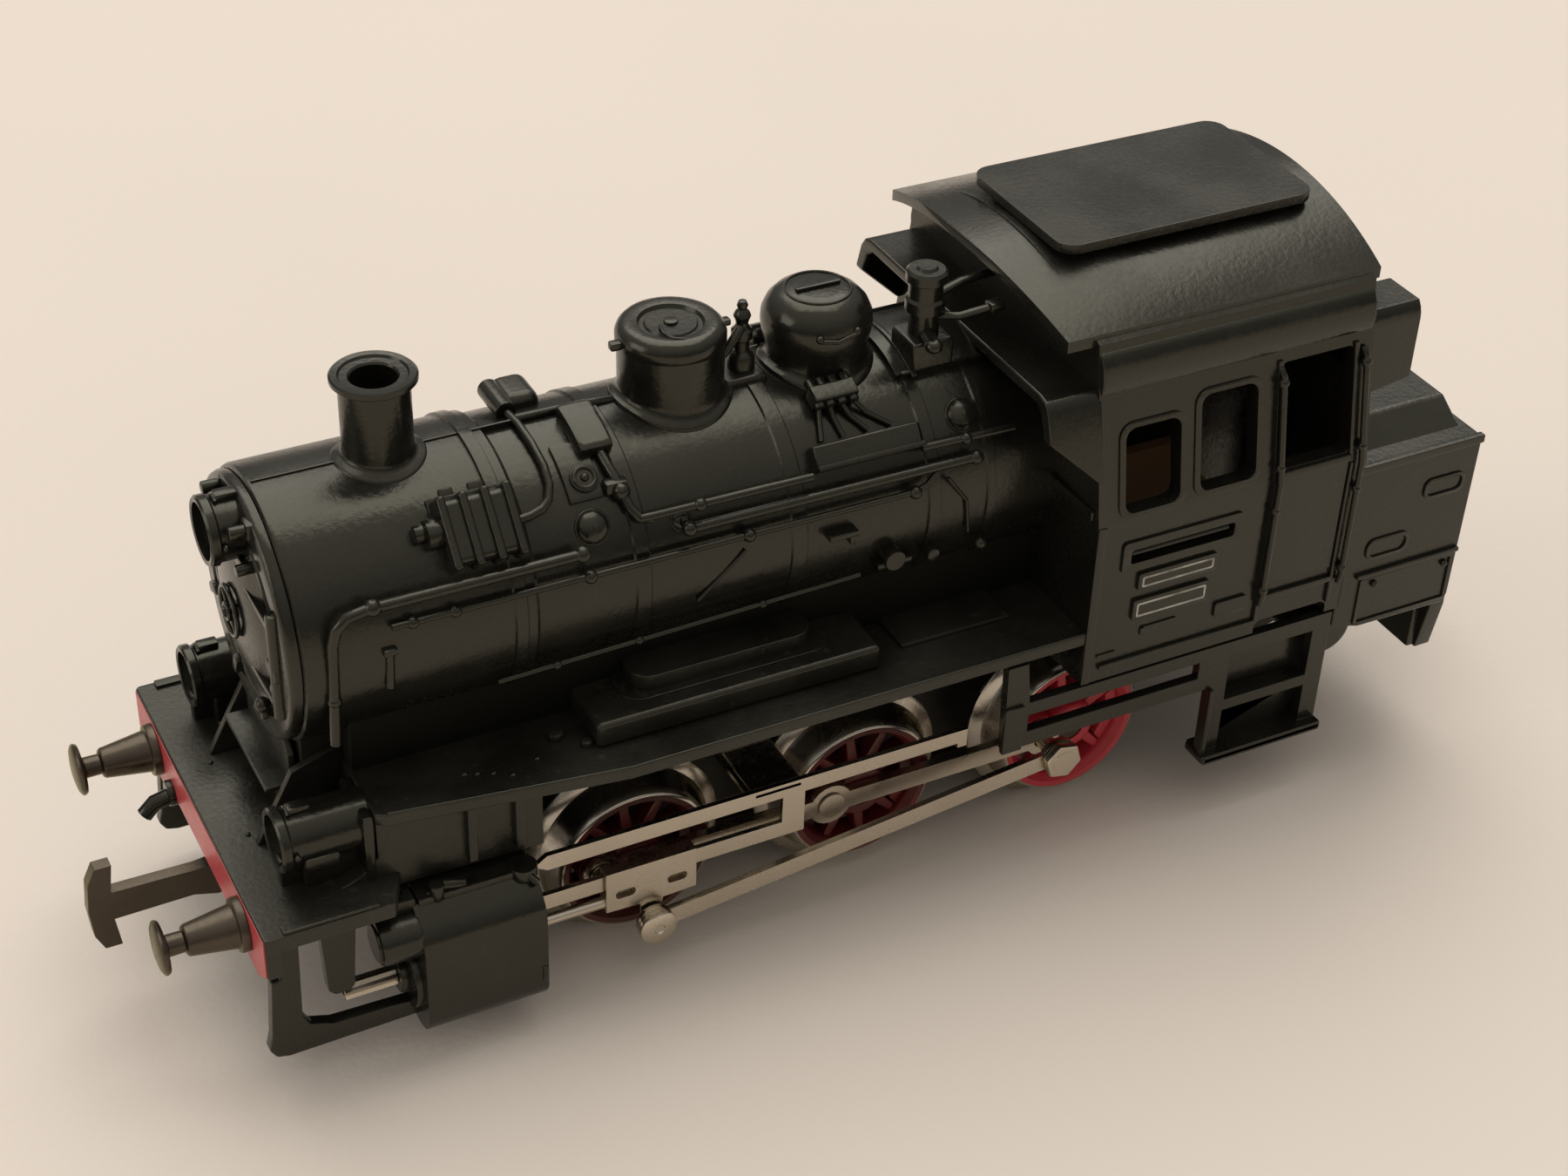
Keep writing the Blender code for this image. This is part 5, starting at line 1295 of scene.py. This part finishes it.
def make_works():
    """The frame, motor, gears, reverser and pickup, with eased edges."""
    pieces = (
        ("chassis_frame", "cast", "cast", "loco", 0.12),
        ("field_core", "steel", "steel", "loco", 0.1),
        ("field_coil", "carbon", "copper", "loco", 0.35),
        ("brush_plate", "board", "board", "loco", 0.06),
        ("relay_frame", "steel", "steel", "loco", 0.08),
        ("relay_coil", "cast", "copper", "loco", 0.08),
        ("relay_lever", "steel", "steel", "relay", 0.06),
        ("pickup_plate", "board", "board", "loco", 0.06),
        ("pickup_shoe", "steel", "steel", "pickup", 0.06),
        ("pickup_spring", "brass", "brass", "pickup", 0.03),
        ("armature_core", "steel", "steel", "rotor", 0.06),
        ("drive_gear", "brass", "brass", "rear_wheelset", 0.03),
        ("idler_gear", "brass", "brass", "idler", 0.03),
        ("armature_pinion", "brass", "brass", "rotor", 0.02),
    )
    for node, finish_name, slot, body, bevel in pieces:
        piece(node + "_finished", [refined(node, bevel)], FINISHES[finish_name], body, [node])
    kept = {"armature_winding": "copper", "commutator": "copper", "brush_front": "carbon",
            "brush_rear": "carbon",
            "lamp_bulb": "lens", "bulb_socket": "brass", "body_screw": "steel", "pickup_screw": "brass"}
    for node, finish_name in kept.items():
        material = frame["nodes"][node].material_slots
        for slot in material:
            slot.material = FINISHES[finish_name]


# Studio. The camera's place is in millimetres


CAMERA_PLACE = (79.754, 140.123, 133.974)
CAMERA_RIGHT = (-0.8898, 0.4553, 0.0316)
CAMERA_UP = (-0.2422, -0.5299, 0.8128)
CAMERA_BACK = (0.3868, 0.7155, 0.5817)
CAMERA_LENS = 61.04
SENSOR_WIDTH = 36
NEAREST = 0.01
FLOOR_SIZE = 6
FLOOR_ROUGHNESS = 0.85
PATCH_SCALE = 9
PATCH_TONE = 0.93
WEAVE_SCALE = 1500
WEAVE_DEPTH = 0.0003
WORLD_COLOUR = (1.0, 0.95, 0.89, 1)
WORLD_BELOW, WORLD_ABOVE = 0.1, 0.78
SOFTBOXES = {"overhead": ((-0.32, -0.85, 1.85), 2.1, 30), "front_fill": ((0.9, -0.1, 0.35), 0.5, 1.6)}


def make_camera():
    data = bpy.data.cameras.new("camera")
    data.lens = CAMERA_LENS
    data.sensor_width = SENSOR_WIDTH
    data.clip_start = NEAREST
    camera = bpy.data.objects.new("camera", data)
    axes = Matrix((CAMERA_RIGHT, CAMERA_UP, CAMERA_BACK)).transposed().to_4x4()
    camera.matrix_world = Matrix.Translation(Vector(CAMERA_PLACE) * MM) @ axes
    bpy.context.scene.collection.objects.link(camera)
    bpy.context.scene.camera = camera


def floor_finish(colour):
    material = bpy.data.materials.new("pale_cloth_floor")
    material.use_nodes = True
    nodes, link = material.node_tree.nodes, material.node_tree.links.new
    shader = nodes["Principled BSDF"]
    shader.inputs["Roughness"].default_value = FLOOR_ROUGHNESS
    shader.inputs["Specular IOR Level"].default_value = 0.2
    place = nodes.new("ShaderNodeTexCoord").outputs["Object"]
    tone = nodes.new("ShaderNodeTexNoise")
    tone.inputs["Scale"].default_value = PATCH_SCALE
    weave = nodes.new("ShaderNodeTexNoise")
    weave.inputs["Scale"].default_value = WEAVE_SCALE
    weave.inputs["Detail"].default_value = 1
    mix = nodes.new("ShaderNodeMix")
    mix.data_type = "RGBA"
    mix.inputs[6].default_value = (*colour, 1)
    mix.inputs[7].default_value = (*(value * PATCH_TONE for value in colour), 1)
    bump = nodes.new("ShaderNodeBump")
    bump.inputs["Strength"].default_value = 0.12
    bump.inputs["Distance"].default_value = WEAVE_DEPTH
    for texture in (tone, weave):
        link(place, texture.inputs["Vector"])
    link(tone.outputs["Fac"], mix.inputs["Factor"])
    link(mix.outputs[2], shader.inputs["Base Color"])
    link(weave.outputs["Fac"], bump.inputs["Height"])
    link(bump.outputs["Normal"], shader.inputs["Normal"])
    return material


def add_light(name, place, size, watts, colour=(1, 0.97, 0.93)):
    """A square softbox that faces the locomotive. Its place and size are in metres."""
    data = bpy.data.lights.new(name, "AREA")
    data.size = size
    data.energy = watts
    data.color = colour
    light = bpy.data.objects.new(name, data)
    light.location = place
    light.rotation_euler = (-Vector(place)).to_track_quat("-Z", "Y").to_euler()
    bpy.context.scene.collection.objects.link(light)


def make_stage(colours):
    bpy.ops.mesh.primitive_plane_add(size=FLOOR_SIZE)
    floor = bpy.context.object
    floor.name = "floor"
    floor.data.materials.append(floor_finish(tuple(colours.floor)))
    world = bpy.data.worlds.new("studio")
    bpy.context.scene.world = world
    world.use_nodes = True
    shade = world.node_tree.nodes["Background"]
    shade.inputs["Color"].default_value = WORLD_COLOUR
    nodes, link = world.node_tree.nodes, world.node_tree.links.new
    parts, ramp = nodes.new("ShaderNodeSeparateXYZ"), nodes.new("ShaderNodeMapRange")
    link(nodes.new("ShaderNodeTexCoord").outputs["Generated"], parts.inputs["Vector"])
    link(parts.outputs["Z"], ramp.inputs["Value"])
    ramp.inputs["To Min"].default_value = WORLD_BELOW
    ramp.inputs["To Max"].default_value = WORLD_ABOVE
    link(ramp.outputs["Result"], shade.inputs["Strength"])
    for name, (place, size, watts) in SOFTBOXES.items():
        add_light(name, place, size, watts)
    bpy.context.scene.view_settings.view_transform = "Standard"


# Add-on


class LocomotiveSizes(bpy.types.PropertyGroup):
    smokebox_radius: bpy.props.FloatProperty(
        name="Smokebox radius", description="Outer radius of the smokebox", default=0.00945, unit="LENGTH",
        precision=5)
    boiler_radius: bpy.props.FloatProperty(
        name="Boiler radius", description="Outer radius of the boiler between its bands", default=0.00915,
        unit="LENGTH", precision=5)


class LocomotiveColours(bpy.types.PropertyGroup):
    plastic: bpy.props.FloatVectorProperty(
        name="Plastic", description="Moulded body", default=(0.0075, 0.0073, 0.0058), subtype="COLOR",
        min=0, max=1)
    nickel: bpy.props.FloatVectorProperty(
        name="Nickel", description="Motion gear", default=(0.56, 0.5, 0.41), subtype="COLOR", min=0, max=1)
    wheel: bpy.props.FloatVectorProperty(
        name="Wheel red", description="Wheel centres", default=(0.52, 0.028, 0.05), subtype="COLOR", min=0,
        max=1)
    beam: bpy.props.FloatVectorProperty(
        name="Beam red", description="Paint on the front beam", default=(0.5, 0.06, 0.07), subtype="COLOR",
        min=0, max=1)
    floor: bpy.props.FloatVectorProperty(
        name="Floor", description="Cloth under the locomotive", default=(0.78, 0.7, 0.62), subtype="COLOR",
        min=0, max=1)


class BuildStep(bpy.types.Operator):
    """Shared part of every building step"""

    bl_options = {"REGISTER", "UNDO"}
    steps = ()

    def execute(self, context):
        for step in self.steps:
            step()
        return {"FINISHED"}


class LOCO_OT_finishes(bpy.types.Operator):
    """Make the paints, plastics and metals"""

    bl_idname = "loco.finishes"
    bl_label = "Finishes"

    def execute(self, context):
        make_finishes(context.scene.locomotive_colours)
        return {"FINISHED"}


class LOCO_OT_stage(bpy.types.Operator):
    """Add the camera, the floor and the lights"""

    bl_idname = "loco.stage"
    bl_label = "Stage"

    def execute(self, context):
        make_camera()
        make_stage(context.scene.locomotive_colours)
        return {"FINISHED"}


class LOCO_OT_boiler(BuildStep):
    """Build the barrel, its skirt, chimney and domes"""

    bl_idname = "loco.boiler"
    bl_label = "Boiler"
    steps = (make_barrel, make_firebox, make_chimney, make_domes)


class LOCO_OT_fittings(BuildStep):
    """Build the valves, pump, generator, plugs and sand pipes on the boiler"""

    bl_idname = "loco.fittings"
    bl_label = "Boiler fittings"
    steps = (make_safety_valve, make_turret, make_pump, make_generator, make_bosses, make_sandbox_pipes)


class LOCO_OT_rails(BuildStep):
    """Build the handrails and long pipes"""

    bl_idname = "loco.rails"
    bl_label = "Rails and pipes"
    steps = (make_rails,)


class LOCO_OT_front(BuildStep):
    """Build the smokebox door and the lamps"""

    bl_idname = "loco.front"
    bl_label = "Smokebox front and lamps"
    steps = (make_smokebox_front, make_lamps)


class LOCO_OT_footplate(BuildStep):
    """Build the running boards, front deck and buffer beams"""

    bl_idname = "loco.footplate"
    bl_label = "Footplate and beams"
    steps = (make_footplate, make_beams)


class LOCO_OT_cab(BuildStep):
    """Build the cab, its fittings and its roof"""

    bl_idname = "loco.cab"
    bl_label = "Cab and roof"
    steps = (make_cab, make_cab_details, make_roof)


class LOCO_OT_bunker(BuildStep):
    """Build the bunker behind the cab"""

    bl_idname = "loco.bunker"
    bl_label = "Bunker"
    steps = (make_bunker,)


class LOCO_OT_ends(BuildStep):
    """Build the buffers and coupling hooks"""

    bl_idname = "loco.ends"
    bl_label = "Buffers and hooks"
    steps = (make_buffers,)


class LOCO_OT_cylinders(BuildStep):
    """Build the cylinders, guard irons, piston tubes and cab steps"""

    bl_idname = "loco.cylinders"
    bl_label = "Cylinders and steps"
    steps = (make_cylinders, make_steps)


class LOCO_OT_wheels(BuildStep):
    """Build the tyres, wheel centres, pins and axles"""

    bl_idname = "loco.wheels"
    bl_label = "Wheels"
    steps = (make_wheels,)


class LOCO_OT_motion(BuildStep):
    """Build the rods, screws, guides and crossheads"""

    bl_idname = "loco.motion"
    bl_label = "Rods and slides"
    steps = (make_rods, make_slide_gear)


class LOCO_OT_works(BuildStep):
    """Finish the frame, motor, gears, reverser and pickup"""

    bl_idname = "loco.works"
    bl_label = "Works"
    steps = (make_works,)


OPERATORS = (LOCO_OT_finishes, LOCO_OT_stage, LOCO_OT_boiler, LOCO_OT_fittings, LOCO_OT_rails,
             LOCO_OT_front, LOCO_OT_footplate,
             LOCO_OT_cab, LOCO_OT_bunker, LOCO_OT_ends, LOCO_OT_cylinders, LOCO_OT_wheels, LOCO_OT_motion,
             LOCO_OT_works)


class LOCO_PT_panel(bpy.types.Panel):
    bl_label = "Tank locomotive"
    bl_idname = "LOCO_PT_panel"
    bl_space_type = "VIEW_3D"
    bl_region_type = "UI"
    bl_category = "Locomotive"

    def draw(self, context):
        for group in (context.scene.locomotive_sizes, context.scene.locomotive_colours):
            for name in type(group).__annotations__:
                self.layout.prop(group, name)
        for operator in OPERATORS:
            self.layout.operator(operator.bl_idname)


CLASSES = (LocomotiveSizes, LocomotiveColours, *OPERATORS, LOCO_PT_panel)


def register():
    for item in CLASSES:
        bpy.utils.register_class(item)
    bpy.types.Scene.locomotive_sizes = bpy.props.PointerProperty(type=LocomotiveSizes)
    bpy.types.Scene.locomotive_colours = bpy.props.PointerProperty(type=LocomotiveColours)


def unregister():
    del bpy.types.Scene.locomotive_colours
    del bpy.types.Scene.locomotive_sizes
    for item in reversed(CLASSES):
        bpy.utils.unregister_class(item)


def main():
    register()
    for operator in OPERATORS:
        module, name = operator.bl_idname.split(".")
        getattr(getattr(bpy.ops, module), name)()
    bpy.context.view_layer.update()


if __name__ == "__main__":
    main()
